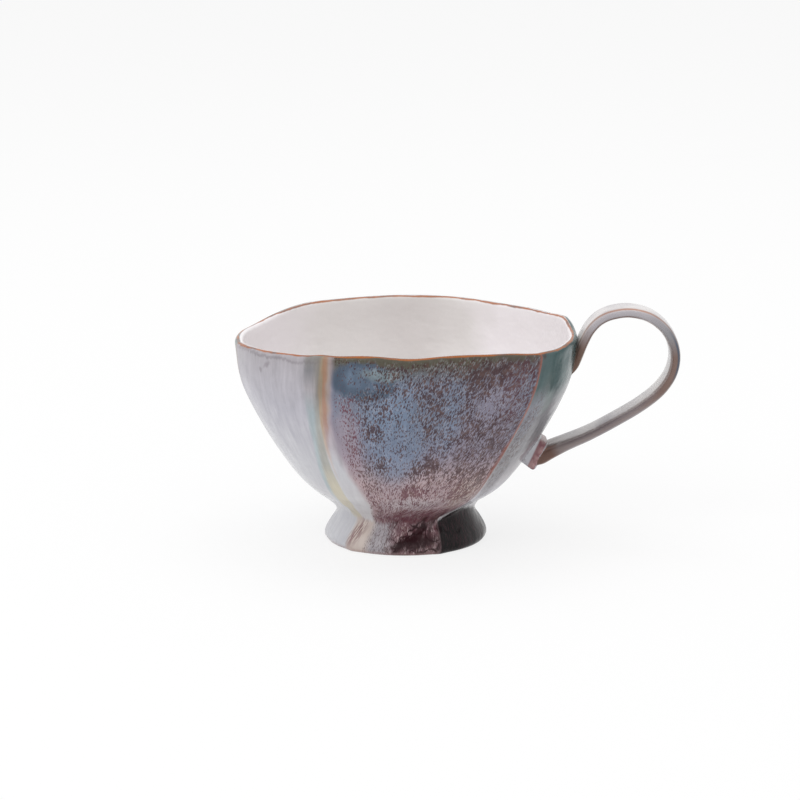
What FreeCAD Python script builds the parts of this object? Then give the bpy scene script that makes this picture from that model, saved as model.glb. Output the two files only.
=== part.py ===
"""Pedestal mug, fired as one piece: a bowl with six raised ridges, a ring foot and a strap handle.

Millimetres, +Z up, origin at the middle of the foot on the surface that it stands on. +X runs
through the handle. Angles round the axis are counted from the front, -Y, towards +X.
"""

import FreeCAD, Part
import math
import os

import Sketcher

# Driving dimensions: name, value, what it is
SIZES = [
    ("rim_height", 69.3, "height of the rim at the front and the back"),
    ("rim_sweep", 467.0, "radius of the long arc along which the rim dips to both sides"),
    ("rim_crest", 2.4, "how far towards the handle the rim is highest"),
    ("rim_allowance", 2.5, "how far the bowl runs past the rim before it is trimmed"),
    ("mouth_radius", 55.7, "outside of the bowl, at the top before it is trimmed"),
    ("neck_height", 9.9, "level where the bowl meets its foot"),
    ("neck_radius", 22.5, "outside, where the bowl meets its foot"),
    ("waist_level_ratio", 0.086, "level of the waist, between the neck at 0 and the rim at 1"),
    ("waist_spread_ratio", 0.178, "outside there, between the neck's at 0 and the mouth's at 1"),
    ("hip_level_ratio", 0.237, "level of the hip, on the same scale"),
    ("hip_spread_ratio", 0.437, "outside of the hip, on the same scale"),
    ("belly_level_ratio", 0.473, "level of the belly"),
    ("belly_spread_ratio", 0.720, "outside of the belly"),
    ("shoulder_level_ratio", 0.742, "level of the shoulder"),
    ("shoulder_spread_ratio", 0.925, "outside of the shoulder"),
    ("collar_level_ratio", 0.880, "level of the collar under the rim"),
    ("collar_spread_ratio", 0.973, "outside of the collar"),
    ("foot_flare_height", 5.0, "level at which the foot starts to spread"),
    ("foot_flare", 1.6, "how far the foot stands out past the neck there"),
    ("foot_edge_height", 1.5, "level of the widest part of the foot"),
    ("foot_edge", 3.0, "how far the foot stands out past the neck at its widest"),
    ("foot_tuck", 0.8, "how far the sole lies inside the widest part of the foot"),
    ("ring_width", 6.7, "width of the ring that the mug stands on"),
    ("recess_depth", 7.0, "depth of the hollow under the foot"),
    ("recess_draft", 1.2, "how much narrower the hollow is at its roof"),
    ("floor_thickness", 6.0, "between the hollow's roof and the inside bottom"),
    ("well_radius", 9.0, "flat middle of the inside bottom"),
    ("cove_rise", 2.4, "how far above the bottom the inside turns up into the wall"),
    ("cove_radius", 19.5, "inside, where the bottom turns up into the wall"),
    ("wall", 2.8, "thickness of the bowl's wall"),
    ("lip_round", 1.1, "rounding of both edges of the rim"),
    ("ridge_round_ratio", 0.25, "radius of a ridge's crest over the outline's radius there"),
    ("panel_round_ratio", 1.12, "radius of a panel between two ridges over the same"),
    ("left_angle_rim", -76.0, "left ridge, at the rim"),
    ("left_angle_neck", -84.0, "left ridge, at the neck"),
    ("left_angle_foot", -88.0, "left ridge, on the foot"),
    ("front_angle_rim", -27.0, "front ridge, at the rim"),
    ("front_angle_neck", -34.0, "front ridge, at the neck"),
    ("front_angle_foot", -38.0, "front ridge, on the foot"),
    ("right_angle_rim", 48.5, "right ridge, at the rim"),
    ("right_angle_neck", 40.0, "right ridge, at the neck"),
    ("right_angle_foot", 27.0, "right ridge, on the foot"),
    ("side_angle_rim", 108.0, "ridge behind the handle, at the rim"),
    ("side_angle_neck", 100.0, "ridge behind the handle, at the neck"),
    ("side_angle_foot", 94.0, "ridge behind the handle, on the foot"),
    ("back_angle_rim", 160.0, "back ridge, at the rim"),
    ("back_angle_neck", 152.0, "back ridge, at the neck"),
    ("back_angle_foot", 147.0, "back ridge, on the foot"),
    ("rear_angle_rim", 217.0, "ridge at the left of the back, at the rim"),
    ("rear_angle_neck", 210.0, "ridge at the left of the back, at the neck"),
    ("rear_angle_foot", 206.0, "ridge at the left of the back, on the foot"),
    ("strap_width", 13.5, "width of the handle's strap"),
    ("strap_thickness", 3.5, "thickness of the strap in its middle"),
    ("strap_edge", 2.2, "thickness of the strap at its rounded edges"),
    ("strap_bury", 1.3, "how deep the upper end of the strap's middle line lies in the wall"),
    ("heel_bury", 1.4, "how deep its lower end lies in the wall"),
    ("handle_span", 29.9, "how far the strap's middle line reaches past the mouth"),
    ("handle_rise", 4.5, "how far the strap's middle line rises above the rim"),
    ("bend_radius", 14.6, "outer bend of the handle, on its middle line"),
    ("hook_radius", 7.0, "bend of the handle over the rim, on its middle line"),
    ("return_radius", 106.0, "long sweep of the handle back to the belly, on its middle line"),
    ("heel_rise", 3.3, "how far above the hip the handle's middle line enters the belly"),
    ("rise_angle", 68.0, "slope of the strap where it leaves the wall upwards"),
    ("crown_angle", 11.0, "slope of the strap's top run"),
]

RIDGES = ["left", "front", "right", "side", "back", "rear"]


def make_sheet(doc):
    """The spreadsheet of driving dimensions: name, value and note in each row."""
    sheet = doc.addObject("Spreadsheet::Sheet", "sizes")
    for row, (name, value, note) in enumerate(SIZES, start=1):
        sheet.set(f"A{row}", name)
        sheet.set(f"B{row}", str(value))
        sheet.set(f"C{row}", note)
        sheet.setAlias(f"B{row}", name)
    doc.recompute()
    return sheet


def plane(body, role):
    """One of the body's own origin planes."""
    return next(f for f in body.Origin.OriginFeatures if f.Role == role)


def new_sketch(body, name, role):
    """An empty sketch on one of the body's origin planes."""
    sketch = body.newObject("Sketcher::SketchObject", name)
    sketch.AttachmentSupport = [(plane(body, role), "")]
    sketch.MapMode = "FlatFace"
    return sketch


def bind(sketch, kind, *place, size):
    """Adds a constraint whose value is an expression of the sheet's cells."""
    value = float(sketch.evalExpression(size))
    index = sketch.addConstraint(Sketcher.Constraint(kind, *place, value))
    sketch.setExpression(f"Constraints[{index}]", size)


def place_point(sketch, geometry, end, across, up):
    """Holds a point of the sketch at an expression's distance from both axes."""
    bind(sketch, "DistanceX", -1, 1, geometry, end, size=across)
    bind(sketch, "DistanceY", -1, 1, geometry, end, size=up)


def rim_angle_at(ridge, height):
    """Angle of a ridge on the bowl, which drifts evenly from the rim to the neck."""
    drift = f"(({height}) - sizes.neck_height) / (sizes.rim_height - sizes.neck_height)"
    neck = f"sizes.{ridge}_angle_neck"
    return f"({neck} + (sizes.{ridge}_angle_rim - {neck}) * {drift})"


def foot_angle_at(ridge, height):
    """Angle of a ridge on the foot, which drifts from the neck to the flare and then stays."""
    fall = f"(sizes.neck_height - ({height})) / (sizes.neck_height - sizes.foot_flare_height)"
    neck = f"sizes.{ridge}_angle_neck"
    return f"({neck} + (sizes.{ridge}_angle_foot - {neck}) * min({fall}; 1))"


def petal_sketch(body, name, height, radius, angle_at):
    """A closed outline at one height: a rounded ridge at each angle, with a flatter panel between.

    Each ridge is a small arc that touches the full radius, and each panel a large arc that runs
    smoothly into the ridges on both its sides.
    """
    sketch = new_sketch(body, name, "XY_Plane")
    sketch.setExpression(".AttachmentOffset.Base.z", height)
    count = len(RIDGES)
    angles = [angle_at(ridge, height) for ridge in RIDGES]
    seat = f"({radius}) * (1 - sizes.ridge_round_ratio)"
    centres = [(f"{seat} * sin{a}", f"-{seat} * cos{a}") for a in angles]
    ridge = f"({radius}) * sizes.ridge_round_ratio"
    panel = f"({radius}) * sizes.panel_round_ratio"
    ridge_bow = float(sketch.evalExpression(ridge))
    panel_bow = float(sketch.evalExpression(panel))
    ridge_points = [
        FreeCAD.Vector(float(sketch.evalExpression(x)), float(sketch.evalExpression(y)), 0)
        for x, y in centres
    ]
    panel_points = []
    for here, there in zip(ridge_points, ridge_points[1:] + ridge_points[:1]):
        chord = there - here
        outward = FreeCAD.Vector(chord.y, -chord.x, 0).normalize()
        back = math.sqrt((panel_bow - ridge_bow) ** 2 - (chord.Length / 2) ** 2)
        panel_points.append((here + there) / 2 - outward * back)
    for k, point in enumerate(ridge_points):
        first = point + (point - panel_points[k - 1]).normalize() * ridge_bow
        last = point + (point - panel_points[k]).normalize() * ridge_bow
        crest = point * (1 + ridge_bow / point.Length)
        sketch.addGeometry(Part.Arc(first, crest, last))
        following = ridge_points[(k + 1) % count]
        meet = following + (following - panel_points[k]).normalize() * ridge_bow
        middle = panel_points[k] + (last + meet - panel_points[k] * 2).normalize() * panel_bow
        sketch.addGeometry(Part.Arc(last, middle, meet))
    for k, (x, y) in enumerate(centres):
        place_point(sketch, 2 * k, 3, x, y)
        bind(sketch, "Radius", 2 * k, size=ridge)
        bind(sketch, "Radius", 2 * k + 1, size=panel)
    for k in range(2 * count):
        sketch.addConstraint(Sketcher.Constraint("Tangent", k, 2, (k + 1) % (2 * count), 1))
    return sketch


def loft(body, kind, name, sections):
    """A smooth loft through the sections, added to the body or taken from it."""
    feature = body.newObject(f"PartDesign::{kind}", name)
    feature.Profile = sections[0]
    feature.Sections = sections[1:]
    feature.Ruled = False
    return feature


def bowl_level(at):
    """Height and outside radius of a named level between the neck and the rim."""
    height = f"sizes.neck_height + sizes.{at}_level_ratio * (sizes.rim_height - sizes.neck_height)"
    radius = f"sizes.neck_radius + sizes.{at}_spread_ratio * (sizes.mouth_radius - sizes.neck_radius)"
    return height, radius


NECK = ("sizes.neck_height", "sizes.neck_radius")
MOUTH = ("sizes.rim_height + sizes.rim_allowance", "sizes.mouth_radius")
HIP = bowl_level("hip")
BELLY = bowl_level("belly")
SHOULDER = bowl_level("shoulder")
BOWL = {
    "neck": NECK,
    "waist": bowl_level("waist"),
    "hip": HIP,
    "belly": BELLY,
    "shoulder": SHOULDER,
    "collar": bowl_level("collar"),
    "mouth": MOUTH,
}
SOLE_RADIUS = "(sizes.neck_radius + sizes.foot_edge - sizes.foot_tuck)"
FOOT = {
    "neck": NECK,
    "flare": ("sizes.foot_flare_height", "sizes.neck_radius + sizes.foot_flare"),
    "edge": ("sizes.foot_edge_height", "sizes.neck_radius + sizes.foot_edge"),
    "sole": ("0", SOLE_RADIUS),
}


def make_bowl(body):
    """The outside of the bowl, from the neck to above the rim."""
    sections = [petal_sketch(body, f"bowl_{at}", *BOWL[at], rim_angle_at) for at in BOWL]
    return loft(body, "AdditiveLoft", "bowl", sections)


def make_foot(body):
    """The ring foot, which spreads below the neck to a rounded edge."""
    sections = [petal_sketch(body, f"foot_{at}", *FOOT[at], foot_angle_at) for at in FOOT]
    return loft(body, "AdditiveLoft", "foot", sections)


def trim_rim(body, sheet):
    """Cuts the rim along a long arc, high at the front and the back and low at the sides."""
    sketch = new_sketch(body, "rim_line", "XZ_Plane")
    half = sheet.mouth_radius + sheet.rim_allowance
    drop = sheet.rim_sweep - math.sqrt(sheet.rim_sweep**2 - half**2)
    top = sheet.rim_height + 2 * sheet.rim_allowance
    crest = FreeCAD.Vector(sheet.rim_crest, sheet.rim_height, 0)
    left = FreeCAD.Vector(sheet.rim_crest - half, sheet.rim_height - drop, 0)
    right = FreeCAD.Vector(sheet.rim_crest + half, sheet.rim_height - drop, 0)
    upper_right = FreeCAD.Vector(right.x, top, 0)
    upper_left = FreeCAD.Vector(left.x, top, 0)
    sketch.addGeometry(Part.Arc(right, crest, left))
    sketch.addGeometry(Part.LineSegment(left, upper_left))
    sketch.addGeometry(Part.LineSegment(upper_left, upper_right))
    sketch.addGeometry(Part.LineSegment(upper_right, right))
    for first, second, end in ((0, 1, 2), (1, 2, 2), (2, 3, 2), (3, 0, 2)):
        sketch.addConstraint(Sketcher.Constraint("Coincident", first, end, second, 1))
    sketch.addConstraint(Sketcher.Constraint("Vertical", 1))
    sketch.addConstraint(Sketcher.Constraint("Horizontal", 2))
    sketch.addConstraint(Sketcher.Constraint("Vertical", 3))
    bind(sketch, "Radius", 0, size="sizes.rim_sweep")
    place_point(sketch, 0, 3, "sizes.rim_crest", "sizes.rim_height - sizes.rim_sweep")
    reach = "(sizes.mouth_radius + sizes.rim_allowance)"
    bind(sketch, "DistanceX", -1, 1, 1, 1, size=f"sizes.rim_crest - {reach}")
    bind(sketch, "DistanceX", -1, 1, 3, 1, size=f"sizes.rim_crest + {reach}")
    bind(sketch, "DistanceY", -1, 1, 1, 2, size="sizes.rim_height + 2 * sizes.rim_allowance")
    pocket = body.newObject("PartDesign::Pocket", "rim_trim")
    pocket.Profile = sketch
    pocket.Type = "ThroughAll"
    pocket.Midplane = True
    return pocket


def inner_radius(level, below, above):
    """Inside radius at a level: the wall is measured square to the slope of the outside."""
    rise = f"(({above[0]}) - ({below[0]}))"
    run = f"(({above[1]}) - ({below[1]}))"
    return f"({level[1]}) - sizes.wall * sqrt({rise}^2 + {run}^2) / {rise}"


def make_inside(body):
    """The inside of the bowl, one wall in from the outside and dished at the bottom."""
    well = "sizes.recess_depth + sizes.floor_thickness"
    places = {
        "well": (well, "sizes.well_radius"),
        "cove": (f"{well} + sizes.cove_rise", "sizes.cove_radius"),
    }
    names = list(BOWL)
    for at in ("hip", "belly", "shoulder", "collar", "mouth"):
        k = names.index(at)
        below = BOWL[names[k - 1]]
        above = BOWL[names[min(k + 1, len(names) - 1)]]
        places[at] = (BOWL[at][0], inner_radius(BOWL[at], below, above))
    sections = [petal_sketch(body, f"inside_{at}", *places[at], rim_angle_at) for at in places]
    return loft(body, "SubtractiveLoft", "inside", sections)


def on_rim(edge, sheet):
    """Whether an edge lies on the long arc that the rim was cut along."""
    first, last = edge.ParameterRange
    for k in range(5):
        point = edge.valueAt(first + (last - first) * k / 4)
        away = point.x - sheet.rim_crest
        level = sheet.rim_height - sheet.rim_sweep + math.sqrt(sheet.rim_sweep**2 - away**2)
        if abs(point.z - level) > 0.001:
            return False
    return True


def round_lip(body, sheet, base):
    """Rounds the inner and the outer edge of the rim."""
    edges = [f"Edge{k}" for k, e in enumerate(base.Shape.Edges, start=1) if on_rim(e, sheet)]
    fillet = body.newObject("PartDesign::Fillet", "lip")
    fillet.Base = (base, edges)
    fillet.setExpression("Radius", "sizes.lip_round")
    return fillet


def heading(degrees):
    """A unit vector at an angle from the horizontal, in the handle's own plane."""
    turn = math.radians(degrees)
    return FreeCAD.Vector(math.cos(turn), math.sin(turn), 0)


def strap_path(body, sheet):
    """The handle's middle line: up off the wall, over the rim, round and back to the belly."""
    sketch = new_sketch(body, "strap_path", "XZ_Plane")
    start_across = f"{SHOULDER[1]} - sizes.strap_bury"
    start_up = SHOULDER[0]
    end_up = f"{HIP[0]} + sizes.heel_rise"
    slope = f"({BELLY[1]} - ({HIP[1]})) / ({BELLY[0]} - ({HIP[0]}))"
    end_across = f"{HIP[1]} + sizes.heel_rise * {slope} - sizes.heel_bury"
    centre_across = "sizes.mouth_radius + sizes.handle_span - sizes.bend_radius"
    centre_up = "sizes.rim_height + sizes.handle_rise - sizes.bend_radius"

    def place(across, up):
        return FreeCAD.Vector(sketch.evalExpression(across), sketch.evalExpression(up), 0)

    start = place(start_across, start_up)
    end = place(end_across, end_up)
    bend_centre = place(centre_across, centre_up)
    rise = heading(sheet.rise_angle)
    crown = heading(sheet.crown_angle)
    bend_in = bend_centre + FreeCAD.Vector(-crown.y, crown.x, 0) * sheet.bend_radius

    # The hook rounds the corner where the rising run would cross the top run
    gap = bend_in - start
    along = (gap.x * crown.y - gap.y * crown.x) / (rise.x * crown.y - rise.y * crown.x)
    hook = start + rise * along
    turn = rise.getAngle(crown)
    tangent = sheet.hook_radius * math.tan(turn / 2)
    depth = sheet.hook_radius * (1 / math.cos(turn / 2) - 1)
    hook_in = hook - rise * tangent
    hook_mid = hook + (crown - rise).normalize() * depth
    hook_out = hook + crown * tangent

    # The return is a wide arc that runs out of the bend and ends in the belly
    to_end = end - bend_centre
    from_bend = sheet.return_radius - sheet.bend_radius
    reach = (from_bend**2 - sheet.return_radius**2 + to_end.Length**2) / (2 * to_end.Length)
    aside = math.sqrt(from_bend**2 - reach**2)
    towards = FreeCAD.Vector(to_end).normalize()
    return_centre = bend_centre + towards * reach + FreeCAD.Vector(towards.y, -towards.x, 0) * aside
    bend_out = bend_centre + (bend_centre - return_centre).normalize() * sheet.bend_radius
    bend_mid = bend_centre + FreeCAD.Vector(sheet.bend_radius, 0, 0)
    belly_side = (bend_out + end - return_centre * 2).normalize()
    return_mid = return_centre + belly_side * sheet.return_radius

    sketch.addGeometry(Part.LineSegment(start, hook_in))
    sketch.addGeometry(Part.Arc(hook_in, hook_mid, hook_out))
    sketch.addGeometry(Part.LineSegment(hook_out, bend_in))
    sketch.addGeometry(Part.Arc(bend_in, bend_mid, bend_out))
    sketch.addGeometry(Part.Arc(bend_out, return_mid, end))
    # An arc's ends are numbered anticlockwise, and the path runs clockwise round all three
    for first, first_end, second, second_end in (
        (0, 2, 1, 2),
        (1, 1, 2, 1),
        (2, 2, 3, 2),
        (3, 1, 4, 2),
    ):
        sketch.addConstraint(
            Sketcher.Constraint("Tangent", first, first_end, second, second_end)
        )
    place_point(sketch, 0, 1, start_across, start_up)
    place_point(sketch, 4, 1, end_across, end_up)
    place_point(sketch, 3, 3, centre_across, centre_up)
    bind(sketch, "Radius", 1, size="sizes.hook_radius")
    bind(sketch, "Radius", 3, size="sizes.bend_radius")
    bind(sketch, "Radius", 4, size="sizes.return_radius")
    for line, slope in ((0, "rise_angle"), (2, "crown_angle")):
        angle = math.radians(getattr(sheet, slope))
        index = sketch.addConstraint(Sketcher.Constraint("Angle", line, angle))
        sketch.setExpression(f"Constraints[{index}]", f"sizes.{slope} * 1 deg")
    return sketch


def strap_section(body, sheet, path):
    """The strap's section, square to its path: two shallow crowns between rounded edges."""
    sketch = body.newObject("Sketcher::SketchObject", "strap_section")
    sketch.AttachmentSupport = [(path, "Edge1")]
    sketch.MapMode = "NormalToEdge"
    half = (sheet.strap_width - sheet.strap_edge) / 2
    edge = sheet.strap_edge / 2
    crown = sheet.strap_thickness / 2
    corners = [
        FreeCAD.Vector(half, -edge, 0),
        FreeCAD.Vector(half, edge, 0),
        FreeCAD.Vector(-half, edge, 0),
        FreeCAD.Vector(-half, -edge, 0),
    ]
    middles = [
        FreeCAD.Vector(half + edge, 0, 0),
        FreeCAD.Vector(0, crown, 0),
        FreeCAD.Vector(-half - edge, 0, 0),
        FreeCAD.Vector(0, -crown, 0),
    ]
    for k, middle in enumerate(middles):
        sketch.addGeometry(Part.Arc(corners[k], middle, corners[(k + 1) % 4]))
    for k in range(4):
        sketch.addConstraint(Sketcher.Constraint("Coincident", k, 2, (k + 1) % 4, 1))
    span = "(sizes.strap_width - sizes.strap_edge) / 2"
    bulge = "(sizes.strap_thickness - sizes.strap_edge) / 2"
    place_point(sketch, 0, 1, span, "-sizes.strap_edge / 2")
    place_point(sketch, 2, 1, f"-{span}", "sizes.strap_edge / 2")
    place_point(sketch, 0, 3, span, "0")
    place_point(sketch, 2, 3, f"-{span}", "0")
    bow = f"(({span})^2 + ({bulge})^2) / (2 * ({bulge}))"
    bind(sketch, "Radius", 1, size=bow)
    bind(sketch, "Radius", 3, size=bow)
    return sketch


def make_handle(body, sheet):
    """The strap handle, which runs into the wall under the rim and at the belly."""
    path = strap_path(body, sheet)
    pipe = body.newObject("PartDesign::AdditivePipe", "handle")
    pipe.Profile = strap_section(body, sheet, path)
    pipe.Spine = path
    pipe.Mode = "Binormal"
    pipe.Binormal = FreeCAD.Vector(0, 1, 0)
    return pipe


def hollow_foot(body, sheet):
    """The hollow under the foot, turned out so that the mug stands on a ring."""
    sketch = new_sketch(body, "recess_profile", "XZ_Plane")
    mouth = f"{SOLE_RADIUS} - sizes.ring_width"
    across = float(sketch.evalExpression(mouth))
    points = [
        FreeCAD.Vector(0, 0, 0),
        FreeCAD.Vector(across, 0, 0),
        FreeCAD.Vector(across - sheet.recess_draft, sheet.recess_depth, 0),
        FreeCAD.Vector(0, sheet.recess_depth, 0),
    ]
    for k, point in enumerate(points):
        sketch.addGeometry(Part.LineSegment(point, points[(k + 1) % 4]))
    for k in range(4):
        sketch.addConstraint(Sketcher.Constraint("Coincident", k, 2, (k + 1) % 4, 1))
    sketch.addConstraint(Sketcher.Constraint("Coincident", 0, 1, -1, 1))
    sketch.addConstraint(Sketcher.Constraint("Horizontal", 0))
    sketch.addConstraint(Sketcher.Constraint("Horizontal", 2))
    sketch.addConstraint(Sketcher.Constraint("Vertical", 3))
    bind(sketch, "DistanceX", -1, 1, 0, 2, size=mouth)
    bind(sketch, "DistanceX", -1, 1, 1, 2, size=f"{mouth} - sizes.recess_draft")
    bind(sketch, "DistanceY", -1, 1, 1, 2, size="sizes.recess_depth")
    groove = body.newObject("PartDesign::Groove", "foot_recess")
    groove.Profile = sketch
    groove.ReferenceAxis = (sketch, ["V_Axis"])
    groove.Angle = 360
    return groove


def check(doc):
    """Stops with a message if an object failed or the finished shape is not one good solid."""
    for item in doc.Objects:
        if {"Invalid", "Error"} & set(item.State):
            raise RuntimeError(f"{item.Name} failed: {item.State}")
    shape = doc.getObject("mug").Shape
    if shape.isNull() or not shape.isValid() or len(shape.Solids) != 1:
        raise RuntimeError("the mug is not one valid solid")


def main():
    doc = FreeCAD.newDocument("pedestal_mug")
    sheet = make_sheet(doc)
    body = doc.addObject("PartDesign::Body", "mug")
    body.Label = "mug"
    make_bowl(body)
    make_foot(body)
    trim_rim(body, sheet)
    inside = make_inside(body)
    doc.recompute()
    round_lip(body, sheet, inside)
    doc.recompute()
    make_handle(body, sheet)
    hollow_foot(body, sheet)
    doc.recompute()
    check(doc)
    os.makedirs("parts", exist_ok=True)
    body.Shape.exportStep(os.path.join("parts", f"{body.Label}.step"))
    box = body.Shape.optimalBoundingBox(True, False)
    print(f"mug: {body.Shape.Volume:.0f} mm3, {box.XLength:.1f} x {box.YLength:.1f} x {box.ZLength:.1f} mm")


main()
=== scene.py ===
"""Models and glazes a hand-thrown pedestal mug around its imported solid.

Lengths in the modelling code are in millimetres and become metres in the finished mesh. Angles
on the mug are in degrees, from the front at 0 towards the handle at 90. The bowl has six ridges
with a panel between each two, and a place across the panels is counted in panels: 0 is the front
ridge, 1 the ridge to its right, and so on round to 6, which is the front ridge again.
"""

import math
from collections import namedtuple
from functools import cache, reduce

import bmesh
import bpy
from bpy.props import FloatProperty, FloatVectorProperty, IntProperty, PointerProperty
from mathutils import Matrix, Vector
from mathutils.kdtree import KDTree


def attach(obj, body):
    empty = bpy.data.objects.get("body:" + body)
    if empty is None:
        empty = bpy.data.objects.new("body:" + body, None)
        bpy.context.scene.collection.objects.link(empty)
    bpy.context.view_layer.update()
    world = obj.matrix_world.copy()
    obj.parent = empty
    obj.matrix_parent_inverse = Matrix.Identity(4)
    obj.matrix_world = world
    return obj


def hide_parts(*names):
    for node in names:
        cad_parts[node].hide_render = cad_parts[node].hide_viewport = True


bl_info = {
    "name": "Pedestal mug",
    "version": (1, 0, 0),
    "blender": (4, 5, 0),
    "location": "View3D > Sidebar > Mug",
    "description": "Models a ridged mug with a strap handle, glazes it and sets its stage",
    "category": "Object",
}

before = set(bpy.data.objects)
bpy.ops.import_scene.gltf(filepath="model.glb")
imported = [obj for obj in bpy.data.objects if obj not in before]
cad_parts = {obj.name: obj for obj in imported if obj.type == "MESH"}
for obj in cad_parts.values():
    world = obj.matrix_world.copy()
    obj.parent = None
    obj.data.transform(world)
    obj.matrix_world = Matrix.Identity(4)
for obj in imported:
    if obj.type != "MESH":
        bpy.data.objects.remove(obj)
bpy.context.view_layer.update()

MM = 0.001
NODE = "mug"
BODY = "root"
PIECE = "glazed_mug"

PANELS = 6
PANEL_DEGREES = 360 / PANELS

# Each ridge has its angle at each of the levels: the rim, the waist, the neck and the sole. Its rib
# stands proud and has a width, and the foot has a corner below it. Lift is how much the bowl's
# lower edge is drawn up in the middle of the panel after the ridge.
Ridge = namedtuple("Ridge", "name angles rib rib_width corner lift")
RIDGE_LEVELS = (69.3, 18, 10, 0)
RIDGES = (
    Ridge("front", (-27, -33.5, -38, -39.5), 0.4, 1.5, 0.5, 0),
    Ridge("right", (48.5, 40.6, 26.5, 24), 0.45, 0.9, 0.55, 2.4),
    Ridge("side", (108, 101, 97, 94), 0.4, 1.1, 0.3, 0.8),
    Ridge("back", (160, 153, 150, 147), 0.35, 1.4, 0.3, 0.4),
    Ridge("rear", (217, 211, 208, 206), 0.35, 1.3, 0.3, 0.8),
    Ridge("left", (284, 277, 274, 272), 0.2, 2, 0.3, 1.6),
)
NECK_LEVEL = 11.5
NECK_WIDTH = 3.2
FLATTEST = 0.024
# How flat the foot's panels are against the bowl's, and how far the foot is drawn out in front
FOOT_FLATNESS = 0.45
FOOT_REACH = 1.3
FOOT_TURN = 0.25
WIDE_PANEL = 75
CORNER_WIDTH = 2.2
# The turner's hand: how far the wall sways, how often round the mug, where it starts, and over
# how many millimetres of height it moves on
SWAYS = ((0.22, 3, 0, 17), (0.16, 5, 1.3, -23))
# The levels between which each form fades in or out
FLAT_LEVELS = (4, 12)
RIB_LEVELS = (11, 17)
RIB_TOP = 60
CORNER_LEVELS = (6.5, 9)
REACH_LEVELS = (1.5, 8.5)
SWAY_LEVELS = (12, 30)
RIM_LEVELS = (38, 66)

RIM_HEIGHT = 69.3
RIM_CREST = 2.4
RIM_SWEEP = 467
# Bumps along the rim: angle, half width and height
RIM_BUMPS = (
    (-28, 3.5, 0.45), (-14, 8, 0.25), (2, 9, -0.75), (20, 8, 0.1), (46, 6, -0.45), (60, 12, -0.75),
    (108, 11, 2.1), (127, 11, 0.8), (219, 14, 0.7), (248, 12, -0.7),
)

# The section of the bowl and the foot: distance from the axis and height
RECESS = (
    (0, 7), (7, 6.95), (13.6, 6.8), (16.2, 5.9), (17.1, 3.6), (17.7, 1.3), (18.2, 0.35), (19.2, 0),
)
SOLE = ((19.2, 0), (21.6, 0), (24.2, 0))
FOOT = (
    (24.2, 0), (25.2, 0.25), (25.75, 1), (25.75, 2.2), (25.2, 3.9), (24.1, 5.9), (23, 7.7),
    (22.35, 9.1), (22.6, 10.4), (24, 11.9), (27.6, 14.7),
)
BOWL = (
    (27.6, 14.7), (33.4, 20), (38.2, 26), (43.6, 34), (47.6, 41), (50.6, 47.5),
    (52.9, 54), (54.3, 60.5), (55.1, 68),
)
INSIDE_BOTTOM = ((19.5, 14.9), (14, 13.7), (9, 13.1), (4, 12.95), (0, 12.9))

# The handle's middle line from the tail to the heel: reach, height, thickness and width
STRAP = (
    (51.2, 53.4, 1.4, 9.6), (52.4, 54.9, 2.2, 11.6), (53.6, 57, 2.9, 12.8), (54.5, 59.4, 3.2, 13.3),
    (55.5, 62.2, 3.3, 13.5), (56.6, 64.9, 3.3, 13.5), (58.5, 68.4, 3.3, 13.5),
    (61.4, 71.4, 3.3, 13.5), (65.3, 73.2, 3.3, 13.6), (71.2, 73.9, 3.3, 13.6),
    (77.8, 72.1, 3.4, 13.6), (83, 67.5, 3.4, 13.5), (85.5, 61, 3.4, 13.5), (84.8, 54.6, 3.4, 13.4),
    (81.4, 49, 3.4, 13.3), (75.6, 44, 3.3, 13.2), (67.2, 38.8, 3.3, 13.2), (58.3, 34, 3.4, 13.3),
    (51.2, 30.9, 3.8, 13.6), (46, 28.5, 4.6, 14), (43, 26.9, 4.9, 14), (40.5, 25.4, 3.2, 13.2),
)
# The strap's section is a rounded box; a lower sharpness makes its corners squarer
SECTION_STEPS = 32
SIDE_SHARPNESS = 0.48
FACE_SHARPNESS = 0.72

LIP_STEPS = 12
# How far round a seam, and how often, the skin is smoothed
SEAM_RINGS = 1
SEAM_ROUNDS = 3

# The pad stands further out at its low end, as the wall swells below it
PAD_LOW = 25.4
PAD_HIGH = 33.2
PAD_HALF_WIDTH = 7
PAD_RISES = (5, 3.3)
PAD_SINK = 1.2
PAD_TAPER = 0.12
PAD_MARK = 0.2
PAD_DEPTH_UNIT = 10
PAD_BEVEL = 0.28

# Places in the glaze are counted across the panels, from -3 at the back ridge round by the
# front ridge at 0 to 3 at the back ridge again, and in millimetres up from the table. A panel's
# reach turns the first into about as many millimetres.
PANEL_REACH = 62
MEAN_RADIUS = 48
LINE_ENDS = (-3.2, 3.2)

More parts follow.
